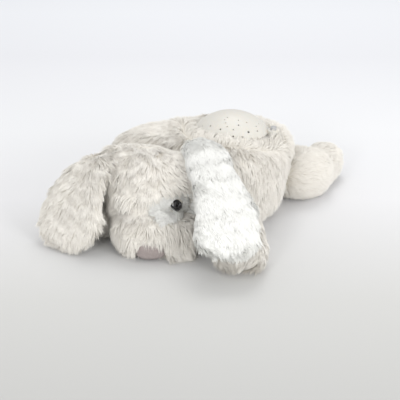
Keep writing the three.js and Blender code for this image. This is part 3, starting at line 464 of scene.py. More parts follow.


# %% [markdown]
# ## The skins of the puppy
# The torso and the head are two bags; ears, legs and tail are seven more, each closed by a seam
# to what carries it.

# %% The limbs, and the head's own frame
LIMBS = {
    # name: (carrier, joint, share of the way to the tip where the bend begins and ends)
    "ear_left": ("head", "ear_left_lift", 0.0, 0.3),
    "ear_right": ("head", "ear_right_lift", 0.0, 0.3),
    "foreleg_left": ("torso", "foreleg_left_droop", 0.0, 0.5),
    "foreleg_right": ("torso", "foreleg_right_droop", 0.0, 0.5),
    "hind_leg_left": ("torso", "hind_leg_left_droop", 0.3, 0.75),
    "hind_leg_right": ("torso", "hind_leg_right_droop", 0.3, 0.75),
    "tail": ("torso", "tail_wag", 0.0, 0.5),
}
HEAD_TURN = math.radians(34)
HEAD_PLACE = np.array([-35.0, -92.0, 0.0]) * MM
HEAD_AXES = np.array([[math.cos(HEAD_TURN), math.sin(HEAD_TURN), 0],
                      [-math.sin(HEAD_TURN), math.cos(HEAD_TURN), 0], [0, 0, 1]])


def from_head(ways):
    """Directions given as the face sees them: x to its left, -y forward."""
    return np.asarray(ways) @ HEAD_AXES


def to_head(points):
    """Points in the head's own frame, in millimetres."""
    return (points - HEAD_PLACE) / MM @ HEAD_AXES.T


print("the face looks along", from_head([0, -1, 0]).round(2))

# %% Make the skins
skins = {
    "torso": make_skin("torso_skin", "torso", "beige_fur"),
    "head": make_skin("head_skin", "head", "beige_fur", voxel_mm=2.2, smooth=14, lumps_mm=0.9),
    "ear_left": make_skin("ear_left_skin", "ear_left", "white_fur", voxel_mm=1.8, smooth=3,
                          lumps_mm=0.3),
    "ear_right": make_skin("ear_right_skin", "ear_right", "beige_fur", voxel_mm=1.8, smooth=3,
                           lumps_mm=0.6),
}
for limb in ("foreleg_left", "foreleg_right", "hind_leg_left", "hind_leg_right", "tail"):
    skins[limb] = make_skin(limb + "_skin", limb, "beige_fur", voxel_mm=2.0, smooth=4, lumps_mm=0.9)
for name, skin in skins.items():
    print(name, "skin has", len(skin.data.polygons), "faces")

# %% [markdown]
# ## Where the stuffing pushes the cloth out
# A bag of stuffing is never as even as its pattern: the toy lies on its chin, so its cheeks,
# brow and right shoulder are pushed up and out. One vertex is pulled with proportional
# editing, as by hand, and the cloth round it follows.

# %% Pull the cloth out
def pull(piece, near, push_mm, reach_mm):
    """Pulls the point of the cloth that lies nearest to a place, and what lies in reach."""
    place = Vector(near) * MM
    edit_points(piece, [min(piece.data.vertices, key=lambda v: (v.co - place).length).index])
    bpy.ops.transform.translate(value=tuple(x * MM for x in push_mm), use_proportional_edit=True,
                                proportional_edit_falloff="SMOOTH", proportional_size=reach_mm * MM)
    set_mode("OBJECT")


PULLS = [  # skin, place, push and reach in millimetres
    ("torso", (-76, -38, 62), (-25, -14, 4), 62),
    ("head", (-64, -100, 66), (-9, -5, 9), 40),
    ("head", (6, -90, 54), (9, 5, 2), 36),
    ("head", (-6, -82, 68), (8, 4, 3), 30),
    ("head", (20, -111, 19), (6, 4, 0), 30),
    ("head", (12, -118, 3), (8, -2, 0), 26),
    ("ear_left", (0, -66, 88), (0, 1, 7), 26),
    ("ear_left", (-12, -75, 76), (4, 2, 0), 18),
    ("ear_left", (24, -66, 84), (5, 3, 2), 26),
    ("ear_left", (64, -144, 37), (-9, -6, -2), 34),
    ("ear_right", (-92, -112, 76), (5, 3, -4), 28),
    ("foreleg_left", (66, -122, 14), (-4, -7, 0), 26),
    ("foreleg_right", (-64, -135, 20), (2, -7, 5), 26),
]
for limb, near, push_mm, reach_mm in PULLS:
    pull(skins[limb], near, push_mm, reach_mm)
print("pulled", len(PULLS), "places")

# %% Where each limb begins and ends
REACH = {}
for limb, (_, joint, _, _) in LIMBS.items():
    pivot = np.array(JOINTS[joint]["pos_m"])
    cloud = np.array([v.co for v in skins[limb].data.vertices])
    far = cloud[np.argmax(np.linalg.norm(cloud - pivot, axis=1))]
    REACH[limb] = (pivot, far)
    print(limb, "reaches", np.round(far / MM), "mm")


def settle(piece, limb):
    """Rides on the torso; any other piece has its place moved into its mesh."""
    if limb == "torso":
        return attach(piece, "torso")
    if limb == "head":
        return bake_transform(piece)
    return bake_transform(piece)


# %% [markdown]
# ## The star dome
# The dome is a shallow cap of cream plastic, moulded with a wall of 1.8 mm, and its stars are
# plain round holes of three sizes. A ball is cut off at the rim, its open edge is drawn down
# into the skirt and out into the flange that the screws hold, and a wall is given to it. The
# holes are drilled with small rods, one after the other.

# %% The dome's sizes
DOME_RADIUS, DOME_RISE, DOME_WALL = 38 * MM, 18 * MM, 1.8 * MM
RIM_HEIGHT, SKIRT_DEPTH, FLANGE_RADIUS = 84 * MM, 8 * MM, 44 * MM
SPHERE = (DOME_RADIUS ** 2 + DOME_RISE ** 2) / (2 * DOME_RISE)
SPHERE_CENTRE = RIM_HEIGHT + DOME_RISE - SPHERE
BUTTON_TURN = math.radians(19)
TURRET_RADIUS, TURRET_TOP, TURRET_HEIGHT = 5.9 * MM, 87 * MM, 12.7 * MM
TURRET_REACH = 42.7 * MM
TURRET = (TURRET_REACH * math.cos(BUTTON_TURN), TURRET_REACH * math.sin(BUTTON_TURN))
STARS = [  # share of a turn, share of the rim's radius, radius in millimetres
    (0.822, 0.93, 1.25), (0.843, 0.88, 0.95), (0.886, 0.91, 1.25), (0.765, 0.87, 0.95),
    (0.773, 0.74, 0.95), (0.925, 0.82, 1.25), (0.978, 0.86, 0.95), (0.845, 0.73, 0.7),
    (0.7, 0.72, 0.95), (0.808, 0.65, 0.7), (0.883, 0.61, 0.95), (0.955, 0.58, 0.7),
    (0.79, 0.54, 0.7), (0.77, 0.44, 0.7), (0.783, 0.33, 0.7), (0.9, 0.45, 0.7),
    (0.033, 0.75, 0.7), (0.995, 0.76, 0.7), (0.622, 0.87, 0.7), (0.648, 0.81, 0.7),
]
print("ball radius:", SPHERE)


# %% The dome's shell
def apply_place(piece):
    """Moves a piece's place, turn and size into its mesh."""
    select_only(piece)
    bpy.ops.object.transform_apply(location=True, rotation=True, scale=True)


def cut_with(piece, cutter, operation="DIFFERENCE"):
    """Cuts a piece with another one, or joins them, and removes the other."""
    apply_modifier(piece, "BOOLEAN", operation=operation, object=cutter, solver="EXACT")
    bpy.data.objects.remove(cutter)


bpy.ops.mesh.primitive_uv_sphere_add(
    segments=128, ring_count=96, radius=SPHERE, location=(0, 0, SPHERE_CENTRE))
dome = bpy.context.object
dome.name = "star_dome_shell"
apply_place(dome)
set_mode("EDIT")
bpy.ops.mesh.select_all(action="SELECT")
bpy.ops.mesh.bisect(plane_co=(0, 0, RIM_HEIGHT), plane_no=(0, 0, 1), clear_inner=True)
set_mode("OBJECT")
edit_points(dome, [v.index for v in dome.data.vertices if v.co.z < RIM_HEIGHT + 0.01 * MM])
for down in (SKIRT_DEPTH - 1 * MM, 1 * MM, 0):
    bpy.ops.mesh.extrude_region_move(TRANSFORM_OT_translate={"value": (0, 0, -down)})
wide = FLANGE_RADIUS / DOME_RADIUS
bpy.ops.transform.resize(value=(wide, wide, 1), center_override=(0, 0, RIM_HEIGHT - SKIRT_DEPTH))
set_mode("OBJECT")
apply_modifier(dome, "SOLIDIFY", thickness=DOME_WALL, offset=-1)
print("shell faces:", len(dome.data.polygons))

# %% The dome's turret and holes
DRILL_LENGTH = 8 * MM
BORES = ((3.3, 70, 90), (4.1, 70, 84.5))  # radius, bottom and top in millimetres, for the button
bpy.ops.mesh.primitive_cylinder_add(
    vertices=48, radius=TURRET_RADIUS, depth=TURRET_HEIGHT,
    location=(*TURRET, TURRET_TOP - TURRET_HEIGHT / 2))
turret = bpy.context.object
apply_modifier(turret, "BEVEL", width=0.6 * MM, segments=3, limit_method="ANGLE")
cut_with(dome, turret, "UNION")
drills = []
for half in (0, 0.5):
    for turn_share, reach_share, radius in STARS:
        turn, reach = 2 * math.pi * (turn_share + half), reach_share * DOME_RADIUS
        height = math.sqrt(SPHERE ** 2 - reach ** 2)
        place = Vector((reach * math.cos(turn), reach * math.sin(turn), height))
        bpy.ops.mesh.primitive_cylinder_add(
            vertices=16, radius=radius * MM, depth=DRILL_LENGTH,
            location=place + Vector((0, 0, SPHERE_CENTRE)), rotation=place.to_track_quat("Z", "Y").to_euler())
        drills.append(bpy.context.object)
for radius, low, high in BORES:
    bpy.ops.mesh.primitive_cylinder_add(
        vertices=48, radius=radius * MM, depth=(high - low) * MM,
        location=(*TURRET, (low + high) / 2 * MM))
    drills.append(bpy.context.object)
for drill in drills:
    cut_with(dome, drill)
apply_modifier(dome, "BEVEL", width=0.25 * MM, segments=2, limit_method="ANGLE",
               angle_limit=math.radians(40))
select_only(dome)
bpy.ops.object.shade_smooth_by_angle(angle=math.radians(35))
print("dome shell has", len(dome.data.polygons), "faces")

# %% [markdown]
# ## Moulded plastics
# The dome is polypropylene with a satin face. Polypropylene looks waxy: it is milky, a little
# yellow, and its gloss is soft. The mould leaves a very fine grain that only breaks up the
# highlight. The other plastics of the module are ABS, harder and evenly satin.

# %% Plastic and metal materials
def plastic(name, base, light, grain_mm, rough, depth_mm=0.03, **values):
    """Moulded plastic: the mould leaves a grain, and the tone changes over twelve grains."""
    return surface(name, base, light, grain_mm * 12, grain_mm, depth_mm, detail=3, Roughness=rough, **values)


FINISH = {
    "dome_plastic": plastic("polypropylene, moulded satin cream", "#d3d0c8", "#dbd8d0", 1.2, 0.42,
                            Subsurface_Weight=0.15, Subsurface_Radius=(0.004, 0.003, 0.002)),
    "housing_plastic": plastic("ABS, moulded satin white", "#e9e6de", "#f2efe8", 0.8, 0.5),
    "button_plastic": plastic("ABS, moulded matt grey", "#a9a9ab", "#bdbdbf", 0.6, 0.55),
    "circuit_board": plastic("circuit board, green lacquer", "#2a6240", "#3a7a51", 0.9, 0.4, 0.05),
    "lamp_lens": plastic("epoxy lamp lens, clear", "#dfe1e3", "#f4f5f6", 0.5, 0.12,
                         Transmission_Weight=0.6),
    "chip_plastic": plastic("epoxy chip case, matt black", "#1a1a1c", "#28282b", 0.4, 0.6),
    "battery_wrap": plastic("shrink film, satin grey", "#484c52", "#5c6168", 0.7, 0.35),
    "bright_steel": surface("steel, nickel plated", "#b4b7bb", "#cfd1d4", 3, 0.6, 0.02,
                            Metallic=1.0, Roughness=0.28),
    "lead_red": plastic("PVC wire sleeve, red", "#a82629", "#bd3437", 0.5, 0.5),
    "lead_black": plastic("PVC wire sleeve, black", "#1f2023", "#303135", 0.5, 0.5),
    "washer_plastic": plastic("nylon washer, white", "#e4e3de", "#efeeea", 0.5, 0.5),
    "eye_gloss": plastic("acrylic eye, polished black", "#08080a", "#101014", 2.0, 0.06, 0.005,
                         Coat_Weight=1.0, Coat_Roughness=0.03),
}
print("finishes:", sorted(FINISH))


# %% Give the plastics to the solids and to the dome
def finish_piece(piece, node, slot, body):
    """One rigid piece that stands for a solid: its material, slot and body."""
    piece.data.materials.append(FINISH[slot])
    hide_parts(node)
    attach(piece, body)


for subpart in frame["record"]["subparts"]:
    finish = FINISH.get(subpart["material_slot"])
    if finish:
        solid = frame["nodes"][subpart["node"]]
        solid.data.materials.clear()
        solid.data.materials.append(finish)
finish_piece(dome, "star_dome", "dome_plastic", "torso")
print("the dome is", dome.data.materials[0].name)

# %% [markdown]
# ## The power button
# A small round button of grey plastic stands in the turret beside the dome. It is a rod with a
# soft edge and a shallow dish for the finger.

# %% The power button
BUTTON_TOP, BUTTON_HEIGHT, BUTTON_RADIUS = 90 * MM, 8.5 * MM, 3 * MM
bpy.ops.mesh.primitive_cylinder_add(
    vertices=64, radius=BUTTON_RADIUS, depth=BUTTON_HEIGHT,
    location=(*TURRET, BUTTON_TOP - BUTTON_HEIGHT / 2))
button = bpy.context.object
button.name = "power_button_cap"
apply_place(button)
set_mode("EDIT")
bpy.ops.mesh.select_mode(type="FACE")
bpy.ops.mesh.select_all(action="DESELECT")
set_mode("OBJECT")
for face in button.data.polygons:
    face.select = face.normal.z > 0.9
set_mode("EDIT")
bpy.ops.mesh.inset(thickness=0.8 * MM)
bpy.ops.mesh.inset(thickness=0.7 * MM, depth=-0.35 * MM)
set_mode("OBJECT")
apply_modifier(button, "BEVEL", width=0.4 * MM, segments=3, limit_method="ANGLE")
bpy.ops.object.shade_smooth()
finish_piece(button, "power_button", "button_plastic", "power_button")
print("button top at", BUTTON_TOP / MM, "mm")

# %% [markdown]
# ## Eyes
# The eyes are safety eyes: polished black acrylic buttons, 13 mm across, pushed through the
# cloth and locked from inside by a washer. A ball is flattened to the button's bulge and
# turned to look where its solid looks; the solid's foremost point says where it sits.

# %% The eyes
EYE_RADIUS, EYE_BULGE, EYE_SPREAD = 6.5 * MM, 4 * MM, math.radians(34)
eyes = {}
for name, side in (("eye_left", 1), ("eye_right", -1)):
    way = Vector(from_head([side * math.sin(EYE_SPREAD), -math.cos(EYE_SPREAD), 0]))
    apex = max((v.co for v in frame["nodes"][name].data.vertices), key=lambda p: p.dot(way))
    middle = apex - way * EYE_BULGE
    bpy.ops.mesh.primitive_uv_sphere_add(segments=48, ring_count=24, radius=1)
    eye = bpy.context.object
    eye.name = name + "_button"
    eye.scale = (EYE_RADIUS, EYE_RADIUS, EYE_BULGE)
    eye.rotation_euler = way.to_track_quat("Z", "Y").to_euler()
    eye.location = middle
    apply_place(eye)
    bpy.ops.object.shade_smooth()
    finish_piece(eye, name, "eye_gloss", "head")
    eyes[side] = (np.array(middle), np.array(way))
    print(name, "at", [round(x / MM, 1) for x in middle], "mm")
EYE, EYE_LOOK = eyes[1]  # the left one, in its white patch

# %% [markdown]
# ## Nose and eye patch
# The nose is a small pad of grey velour, and the left eye sits in a panel of white plush that
# is sewn into the face. Both start as copies of their solids, smoothed.

# %% The nose pad and the eye patch
nose = make_skin("nose_pad", "nose", "nose_velour", voxel_mm=1.0, smooth=4, lumps_mm=0)
patch = make_skin("eye_patch_panel", "eye_patch_left", "white_fur", voxel_mm=0.5, smooth=3, lumps_mm=0)
for piece in (nose, patch):
    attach(piece, "head")
    print(piece.name, "has", len(piece.data.polygons), "faces")

# %% The face's cloth lies under the patch
SINK = 3 * MM
RAY_START, RAY_LENGTH = 12, 20  # millimetres, along the eye's look
patch_tree = trees_of([patch])[patch.name]
look = Vector(EYE_LOOK)
sunk = 0
for vertex in skins["head"].data.vertices:
    face = patch_tree.ray_cast(vertex.co + look * RAY_START * MM, -look, RAY_LENGTH * MM)[0]
    over = (vertex.co - face).dot(look) + SINK if face else 0
    if over > 0:
        vertex.co -= look * over
        sunk += 1
print("sunk", sunk, "points under the patch")

# %% [markdown]
# ## Belly flap, pocket lining and hook-and-loop tape
# The flap under the belly is a thin padded leaf of the same plush with a short nap. The pocket
# behind it is lined with plain woven polyester, cut as a strip and sewn to a tube. The flap is
# held by a strip of loop tape against a strip of hook tape, both of knitted nylon. Their hooks
# and loops are too fine to see, so the tapes are plain bands with softened edges.

# %% Cloth materials of the pocket
THREAD_TO_SCALE = 0.314  # a wave texture's bands are this far apart at scale 1, in metres


def cloth_material(name, base, light, thread_mm, depth_mm):
    """Two sets of threads across each other, drawn from the thread's real pitch."""
    material, tree, shader = new_material(name, Roughness=0.9, Sheen_Weight=0.2, Sheen_Roughness=0.5)
    place = add_node(tree, "ShaderNodeTexCoord").outputs["Object"]
    scale = THREAD_TO_SCALE / (thread_mm * MM)
    bands = [add_node(tree, "ShaderNodeTexWave", {"Vector": place, "Scale": scale},
                      bands_direction=way).outputs["Fac"] for way in ("X", "Z")]
    weave = add_node(tree, "ShaderNodeMath", {0: bands[0], 1: bands[1]}, operation="MAXIMUM").outputs[0]
    two_tones(tree, shader, weave, weave, base, light, depth_mm)
    return material


FINISH["lining"] = cloth_material("polyester lining, plain weave", "#dcd8ce", "#ece9e1", 0.8, 0.1)
FINISH["hook_and_loop"] = cloth_material("nylon hook-and-loop tape, knitted", "#d9d6ce", "#efede7",
                                         0.6, 0.1)
print("cloths: lining, hook_and_loop")

# %% The belly flap and the lining
flap = make_skin("belly_flap_pad", "belly_flap", "beige_fur", voxel_mm=0.9, smooth=3, lumps_mm=0)
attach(flap, "belly_flap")
lining = merged_copy("pocket_lining_tube", "pocket_lining")
select_only(lining)
bpy.ops.object.shade_smooth_by_angle(angle=math.radians(35))
finish_piece(lining, "pocket_lining", "lining", "torso")


# %% The two tapes
for name, node, body in (("loop_tape", "loop_strip", "belly_flap"), ("hook_tape", "hook_strip", "torso")):
    band = merged_copy(name, node)
    apply_modifier(band, "BEVEL", width=0.15 * MM, segments=2, limit_method="ANGLE")
    finish_piece(band, node, "hook_and_loop", body)
    print(name, "is", [round(side / MM, 1) for side in band.dimensions], "mm")

# %% [markdown]
# ## Choosing where pile grows
# Pile grows where a skin meets the air. Roots are left out where a neighbour covers them,
# around the eyes, in the dome's pocket, and on the belly, where the toy's own weight lies on
# it and nothing can be seen.

# %% Roots of the pile
TREES = trees_of([*skins.values(), dome, nose, patch])
ROOM = 3.0                         # the room that pile asks for below a neighbour, in millimetres
NARROW = {"ear_left_skin": 1.2}    # the white ear lies close on what is below it


def roots_on(limb, density, blockers, seed=1):
    """Roots on one skin, without those that face the floor or lie under a neighbour."""
    own = np.random.default_rng(seed)
    places, normals = points_on(skins[limb], density, own)
    open_air = (places[:, 2] > 4 * MM) | (normals[:, 2] > -0.88)
    places, normals = keep(open_air, places, normals)
    free = clear_of(places, normals, [(TREES[b], NARROW.get(b, ROOM)) for b in blockers])
    return keep(free, places, normals)


print("search trees:", len(TREES))


# %% [markdown]
# ## Pile on the torso
# The longest pile of all, about 14 mm. It parts round the dome and falls down the sides. Round
# the button it stands up like a collar, so that only the button's grey top shows.

# %% Roots on the torso, and where they lie
TORSO_DENSITY = 1.25  # locks per square millimetre
places, normals = roots_on("torso", TORSO_DENSITY, [
    "head_skin", "foreleg_left_skin", "foreleg_right_skin",
    "hind_leg_left_skin", "hind_leg_right_skin", "tail_skin"])
from_axis = np.linalg.norm(places[:, :2], axis=1) / MM
from_button = np.linalg.norm(places[:, :2] - np.array(TURRET), axis=1) / MM
on_top = fade(places[:, 2] / MM, 60, 12)
in_pocket = ((from_axis < 52) & (normals[:, 2] < 0.2)) | (from_axis < 39.5)
under = (places[:, 2] < 16 * MM) & (np.abs(places[:, 0]) < 40 * MM) & (normals[:, 2] < -0.3)
in_turret = (from_button < 6.1) & (on_top > 0.8)
good = ~in_pocket & ~under & ~in_turret
places, normals, from_axis, from_button, on_top = keep(good, places, normals, from_axis, from_button, on_top)
uneven = 2.5 * drift(places, 15, 7)[:, 0]
by_button = fade(from_button, 19, -6) * on_top
print(len(places), "roots on the torso")

# %% Comb the torso down its sides, in towards the dome's rim, and back along the hind leg
outward = unit(places * np.array([1, 1, 0]))
at_rim = (fade(from_axis - uneven, 51, -5) * on_top)[:, None]
flow = (outward * 0.9 + np.array([0, 0.15, -0.7])) * (1 - at_rim) - outward * at_rim
to_button = unit((np.append(TURRET, RIM_HEIGHT) - places) * np.array([1, 1, 0]))
flow = flow * (1 - by_button[:, None]) + to_button * by_button[:, None]
to_leg = (fade(places[:, 1] / MM, 20, 25) * (places[:, 0] > 0))[:, None]
flow = flow + to_leg * np.array([0.1, 1.3, 0])
at_lip = fade(from_axis, 50, -3) * on_top * (1 - by_button)
length = 13.5 - 4.0 * fade(from_axis, 58, -10) * on_top * (1 - by_button) + 2.5 * at_lip
length = length + 4.5 * by_button
clear_length = np.maximum((from_button - 4.6) / 0.5, 1.5)
length = np.where(places[:, 2] > 30 * MM, np.minimum(length, clear_length), length)
lift = 0.42 + 0.9 * np.maximum(fade(from_axis - uneven, 57, -6) * on_top, by_button)
lift = lift - 0.55 * at_lip + 1.0 * by_button
for piece in grow_pile("torso_fur", places, normals, flow, length, "beige_fur", lift=lift,
                       density=TORSO_DENSITY, curl=0.5 - 0.4 * by_button, seed=21):
    settle(piece, "torso")

# %% The fringe that hides the button's turret
FRINGE = 620                            # locks in a ring round the turret
FRINGE_INNER, FRINGE_OUTER = 6.3, 11.5  # the ring's radii in millimetres
FRINGE_HEIGHT = 76.5 * MM
SKIRT_CLEAR = 41.5 * MM                 # no fringe grows nearer than this to the dome's axis
own = np.random.default_rng(8)
turn, reach = own.uniform(0, 2 * np.pi, FRINGE), own.uniform(FRINGE_INNER, FRINGE_OUTER, FRINGE) * MM
ring = np.stack([np.cos(turn), np.sin(turn), np.zeros(FRINGE)], 1)
places = np.array([*TURRET, FRINGE_HEIGHT]) + ring * reach[:, None]
outside = np.linalg.norm(places[:, :2], axis=1) > SKIRT_CLEAR
places, ring = keep(outside, places, ring)
upright = np.broadcast_to(np.array([0.0, 0.0, 1.0]), places.shape)
for piece in grow_pile("button_fringe", places, upright, -ring, 14.5, "beige_fur", lift=2.2, curl=0.2,
                       droop=0, gather=0.15, density=TORSO_DENSITY, seed=24):
    settle(piece, "torso")

# %% [markdown]
# ## Pile on the head
# The face is brushed down: from the crown over the brow, and from the bridge of the nose
# outward over the muzzle, where it hangs over the nose pad. Round the eyes it is short.

# %% Roots on the head, and where they lie
HEAD_DENSITY = 1.5  # locks per square millimetre


def gap_to(piece, points):
    """How far the points lie from a piece, in millimetres."""
    return np.array([TREES[piece].find_nearest(Vector(p))[3] for p in points]) / MM


places, normals = roots_on("head", HEAD_DENSITY, [
    "torso_skin", "ear_left_skin", "ear_right_skin", "eye_patch_panel"], seed=2)
near_left_eye, near_right_eye = (np.linalg.norm(places - eyes[side][0], axis=1) / MM for side in (1, -1))
near_nose, near_patch = gap_to("nose_pad", places), gap_to("eye_patch_panel", places)
good = (near_left_eye > 7.2) & (near_right_eye > 5.6) & (near_nose > 1.0) & (near_patch > 1.0)
places, normals, near_left_eye, near_nose, near_patch = keep(
    good, places, normals, near_left_eye, near_nose, near_patch)
x, y, z = to_head(places).T
on_muzzle = fade(z, 44, -8) * fade(y, -20, -15)
over_nose = fade(near_nose, 9, -5) * (z > 14)
over_patch = fade(near_patch, 10, -4) * fade(z, 42, 5)
below_patch = fade(near_patch, 7, -4) * fade(z, 42, -5)
beside_ears = fade(np.abs(x + 2), 19, 8) * (1 - on_muzzle) * (y < 12) * fade(near_patch, 3, 3)
print(len(places), "roots on the head")

# %% Comb the head outward and down over brow and muzzle, and back over the nape
sides = np.clip(x / 18, -1, 1)
brow_flow = np.stack([0.6 * sides, np.full_like(x, -0.45), np.full_like(x, -0.9)], 1)
muzzle_flow = np.stack([0.5 * sides, np.full_like(x, -0.5), np.full_like(x, -0.75)], 1)
back_flow = np.stack([0.02 * x, np.full_like(x, 0.5), np.full_like(x, -0.7)], 1)
behind = fade(y, 5, 20)[:, None]
flow = brow_flow * (1 - on_muzzle[:, None]) + muzzle_flow * on_muzzle[:, None]
flow = from_head(flow * (1 - behind) + back_flow * behind)
print("combed", len(flow), "roots")

# %% How long the head's pile is, and how it stands
# Long over the nose and beside the ears, short round the patch, and never over the left eye.
eye_x, _, eye_z = to_head(EYE[None])[0]
to_left = fade(x, 8, 8) * on_muzzle
to_right = fade(x, -16, -10) * on_muzzle
bridge = np.exp(-((z - 43) / 6) ** 2) * fade(y, -25, -15) * (1 - below_patch)
length = 10.5 + 5.0 * to_left - 2.0 * to_right + 4.0 * over_nose
length = length + 1.5 * over_patch - 4.5 * below_patch + 4 * beside_ears
length = np.where(over_patch > 0, np.minimum(length, 4.5 + near_patch), length)
length = np.where(z > eye_z - 4, np.minimum(length, (near_left_eye - 5.6) / 0.75), length)
lift = 0.35 + 0.3 * bridge + 0.15 * over_nose + 0.25 * to_left + 0.25 * over_patch - 0.1 * below_patch
lift = lift + 0.6 * beside_ears
nook = (near_patch < 18) & (x > eye_x + 3) & (np.abs(z - eye_z + 14) < 7)
length, lift = length + 4 * nook, lift + 0.7 * nook
print("longest lock on the head:", round(length.max(), 1), "mm")

# %% Grow the head's pile
# The white of the patch spreads over the cloth between it and the white ear.
spread = (near_patch < 12) & (x > eye_x + 3) & (z > eye_z - 9) & (z < eye_z + 14)
for piece in grow_pile("head_fur", *keep(~spread, places, normals, flow, length), "beige_fur",
                       lift=lift[~spread], density=HEAD_DENSITY, width_mm=0.6, seed=22):
    settle(piece, "head")
outward = np.broadcast_to(from_head([1.0, -0.6, -0.5]), places.shape)
for piece in grow_pile("patch_edge_fur", *keep(spread, places, normals, outward), 10, "white_fur",
                       lift=1.2, density=HEAD_DENSITY, width_mm=0.9, seed=26):
    settle(piece, "head")

# %% The brow that falls over the right eye
spot = to_head(eyes[-1][0][None])[0]
brow = (np.abs(x - spot[0]) < 10) & (z > spot[2] + 4) & (z < spot[2] + 14) & (y < 0)
places, normals, flow = keep(brow, places, normals, flow * 0.4 + np.array([0, 0, -1.0]))
for piece in grow_pile("brow_fur", places, normals, flow, 15.0, "beige_fur", lift=1.1, curl=0.95,
                       droop=0.3, gather=0.1, density=HEAD_DENSITY, width_mm=0.9, seed=23):
    settle(piece, "head")

# %% [markdown]
# ## Pile on ears, legs and tail
# A limb is brushed from its root to its tip. The white ear has the shortest and densest pile.

# %% Limb pile
LIMB_PILE = {
    # limb: slot, locks per square millimetre, length in millimetres, lift, what covers its root
    "ear_left": ("white_fur", 1.9, 9.0, 0.4, ["head_skin", "torso_skin", "foreleg_left_skin"]),
    "ear_right": ("beige_fur", 1.3, 10.0, 0.35, ["head_skin", "torso_skin"]),
    "foreleg_left": ("beige_fur", 1.2, 10.0, 0.4, ["torso_skin", "head_skin", "ear_left_skin"]),
    "foreleg_right": ("beige_fur", 1.1, 10.0, 0.4, ["torso_skin", "head_skin"]),
    "hind_leg_left": ("beige_fur", 1.1, 11.5, 0.45, ["torso_skin", "tail_skin"]),
    "hind_leg_right": ("beige_fur", 1.1, 11.5, 0.45, ["torso_skin", "tail_skin"]),
    "tail": ("beige_fur", 1.2, 11.0, 0.5, ["torso_skin"]),
}
DOWN = np.array([0, 0, -1.0])
for number, (limb, (slot, density, length, lift, covers)) in enumerate(LIMB_PILE.items()):
    places, normals = roots_on(limb, density, covers, seed=30 + number)
    pivot, far = REACH[limb]
    way = unit(far - pivot)
    flow = np.broadcast_to(way, places.shape) + 0.35 * DOWN
    gather, width = (0.08, 0.95) if slot == "white_fur" else (0.25, 0.65)
    share = ((places - pivot) @ way) / np.linalg.norm(far - pivot)
    if limb == "ear_left":  # longer at its tip, and combed down from its seam
        length = length + 3.5 * fade(share, 0.85, 0.1)
        flow = flow + 0.6 * fade(share, 0.2, -0.2)[:, None] * DOWN
    if limb == "ear_right":  # its inner edge is combed towards the cheek
        inner = fade(to_head(places)[:, 0], -62, 12)[:, None]
        flow = flow + inner * from_head([1.2, -0.2, 0])
        length = length + 4 * inner[:, 0]
    if limb == "foreleg_left":  # the paw's pile is longer
        length = length + 3 * fade(share, 0.6, 0.2)
    for piece in grow_pile(limb + "_fur", places, normals, flow, length, slot, lift=lift, gather=gather,
                           width_mm=width, density=density, seed=40 + number):
        settle(piece, limb)
for name, skin in skins.items():
    settle(skin, name)

# %% [markdown]
# ## Pile on the nose pad and the eye patch
# The nose pad is velour, with a nap of 1.6 mm. The patch has short white pile that is combed
# away from the eye. Below the eye it stands up and bends over the eye's rim, which gives the
# drowsy look, and under that the beige of the muzzle begins.

# %% Velour on the nose pad
NOSE_DENSITY, PATCH_DENSITY = 2.5, 2.2  # locks per square millimetre
places, normals = points_on(nose, NOSE_DENSITY, np.random.default_rng(5))
places, normals = keep(places[:, 2] > 1.5 * MM, places, normals)
flow = np.broadcast_to(np.array([0.2, -0.3, -0.6]), places.shape)
for piece in grow_pile("nose_velour", places, normals, flow, 1.6, "nose_velour", width_mm=0.5,
                       lift=1.0, tuft_mm=2, gather=0.2, density=NOSE_DENSITY, seed=51):
    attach(piece, "head")

# %% Pile on the eye patch
places, normals = points_on(patch, PATCH_DENSITY, np.random.default_rng(6))
off_eye = (places - EYE) / MM
good = (normals @ EYE_LOOK > 0.2) & (np.linalg.norm(off_eye, axis=1) > 6.6)
places, normals, off_eye = keep(good, places, normals, off_eye)
aside, height = off_eye @ np.cross(EYE_LOOK, [0, 0, 1]), off_eye[:, 2]
under = (height < -1) & (np.abs(aside) < 7)
flow = np.where(under[:, None], [0, 0, 1.2], unit(off_eye) + 0.5 * DOWN)
down_flow = np.broadcast_to(np.array([0.1, -0.3, -1.0]), places.shape)
beige = (height < -6.5) & ~(under & (height > -8.5))
for name, mine, slot, ways, length, lift in (
        ("eye_patch_fur", ~beige, "white_fur", flow, np.where(under, 8.5, 7.0), 0.4),
        ("under_eye_fur", beige, "beige_fur", down_flow, np.full(len(places), 10.0), 0.6)):
    for piece in grow_pile(name, *keep(mine, places, normals, ways, length), slot, width_mm=0.6,
                           lift=lift + 1.3 * under[mine], curl=0.5 + 0.4 * under[mine],
                           density=PATCH_DENSITY, tuft_mm=4, gather=0.15, droop=0, seed=52):
        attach(piece, "head")
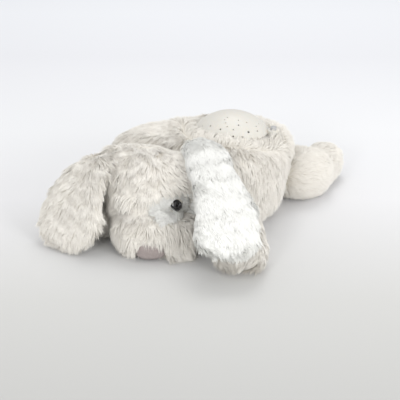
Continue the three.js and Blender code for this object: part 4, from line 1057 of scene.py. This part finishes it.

# %% [markdown]
# ## Floor, air and lamps
# The toy lies on a plain pale sheet, painted darker near the camera and lighter towards the
# back: painted light and shade, as light falls on a sweep. The air gives most of the light,
# softly from all sides. A large lamp above and one at the right add the direction that the
# shadow under the chin shows, and a small one lights the face.

# %% The floor
BACKWARD = (-0.53, 0.848, 0)       # away from the camera, along the floor
SWEEP_START, SWEEP_END = 0.5, 1.7  # where the sweep's tones begin and end, from the camera
# The sweep's tones are painted light and shade: darker near the camera, lighter towards the back
SWEEP_PAINTED_LIGHT_TONES = ((0, "#bfbfbd"), (1, "#eceef2"), (0.13, "#cfcfcd"), (0.3, "#e8e8ea"),
               (0.47, "#ecedef"), (0.75, "#e6e7eb"))
bpy.ops.mesh.primitive_plane_add(size=60, location=(0, 0, -0.2 * MM))
floor = bpy.context.object
floor.name = "floor"
material, tree, shader = new_material("paper sweep, matt white, with painted light falloff", Roughness=0.9)
place = add_node(tree, "ShaderNodeTexCoord").outputs["Object"]
along = add_node(tree, "ShaderNodeVectorMath", {0: place, 1: BACKWARD}, operation="DOT_PRODUCT")
camera_along = Vector(CAMERA_PLACE).xy.dot(Vector(BACKWARD).xy)
span = add_node(tree, "ShaderNodeMapRange",
                {"Value": along.outputs["Value"], "From Min": camera_along + SWEEP_START,
                 "From Max": camera_along + SWEEP_END})
ramp = add_node(tree, "ShaderNodeValToRGB", {"Fac": span.outputs["Result"]}, SWEEP_PAINTED_LIGHT_TONES)
tree.links.new(ramp.outputs["Color"], shader.inputs["Base Color"])
floor.data.materials.append(material)
print("sweep tones:", len(SWEEP_PAINTED_LIGHT_TONES))

# %% The air and the lamps
AIR_LIGHT = 0.80
LAMPS = (  # name, place, target, size in metres, power in watts
    ("softbox above", (-0.3, 0.7, 1.5), (0, -0.03, 0.03), 0.9, 6),
    ("softbox at the right", (1.42, -0.5, 0.5), (0, -0.06, 0.04), 0.7, 9),
    ("small lamp at the face", (0.2, -1.35, 0.6), (0, -0.06, 0.04), 0.3, 3.8),
)
world = bpy.data.worlds.new("studio air")
scene.world = world
world.use_nodes = True
air = world.node_tree.nodes["Background"].inputs
air["Color"].default_value = (1, 1, 1, 1)
air["Strength"].default_value = AIR_LIGHT
for name, place, target, size, power in LAMPS:
    bpy.ops.object.light_add(type="AREA", location=place)
    lamp = bpy.context.object
    lamp.name = name
    lamp.data.shape = "DISK"
    lamp.data.size = size
    lamp.data.energy = power
    lamp.rotation_euler = (Vector(target) - Vector(place)).to_track_quat("-Z", "Y").to_euler()
    print(name, "with", power, "W")
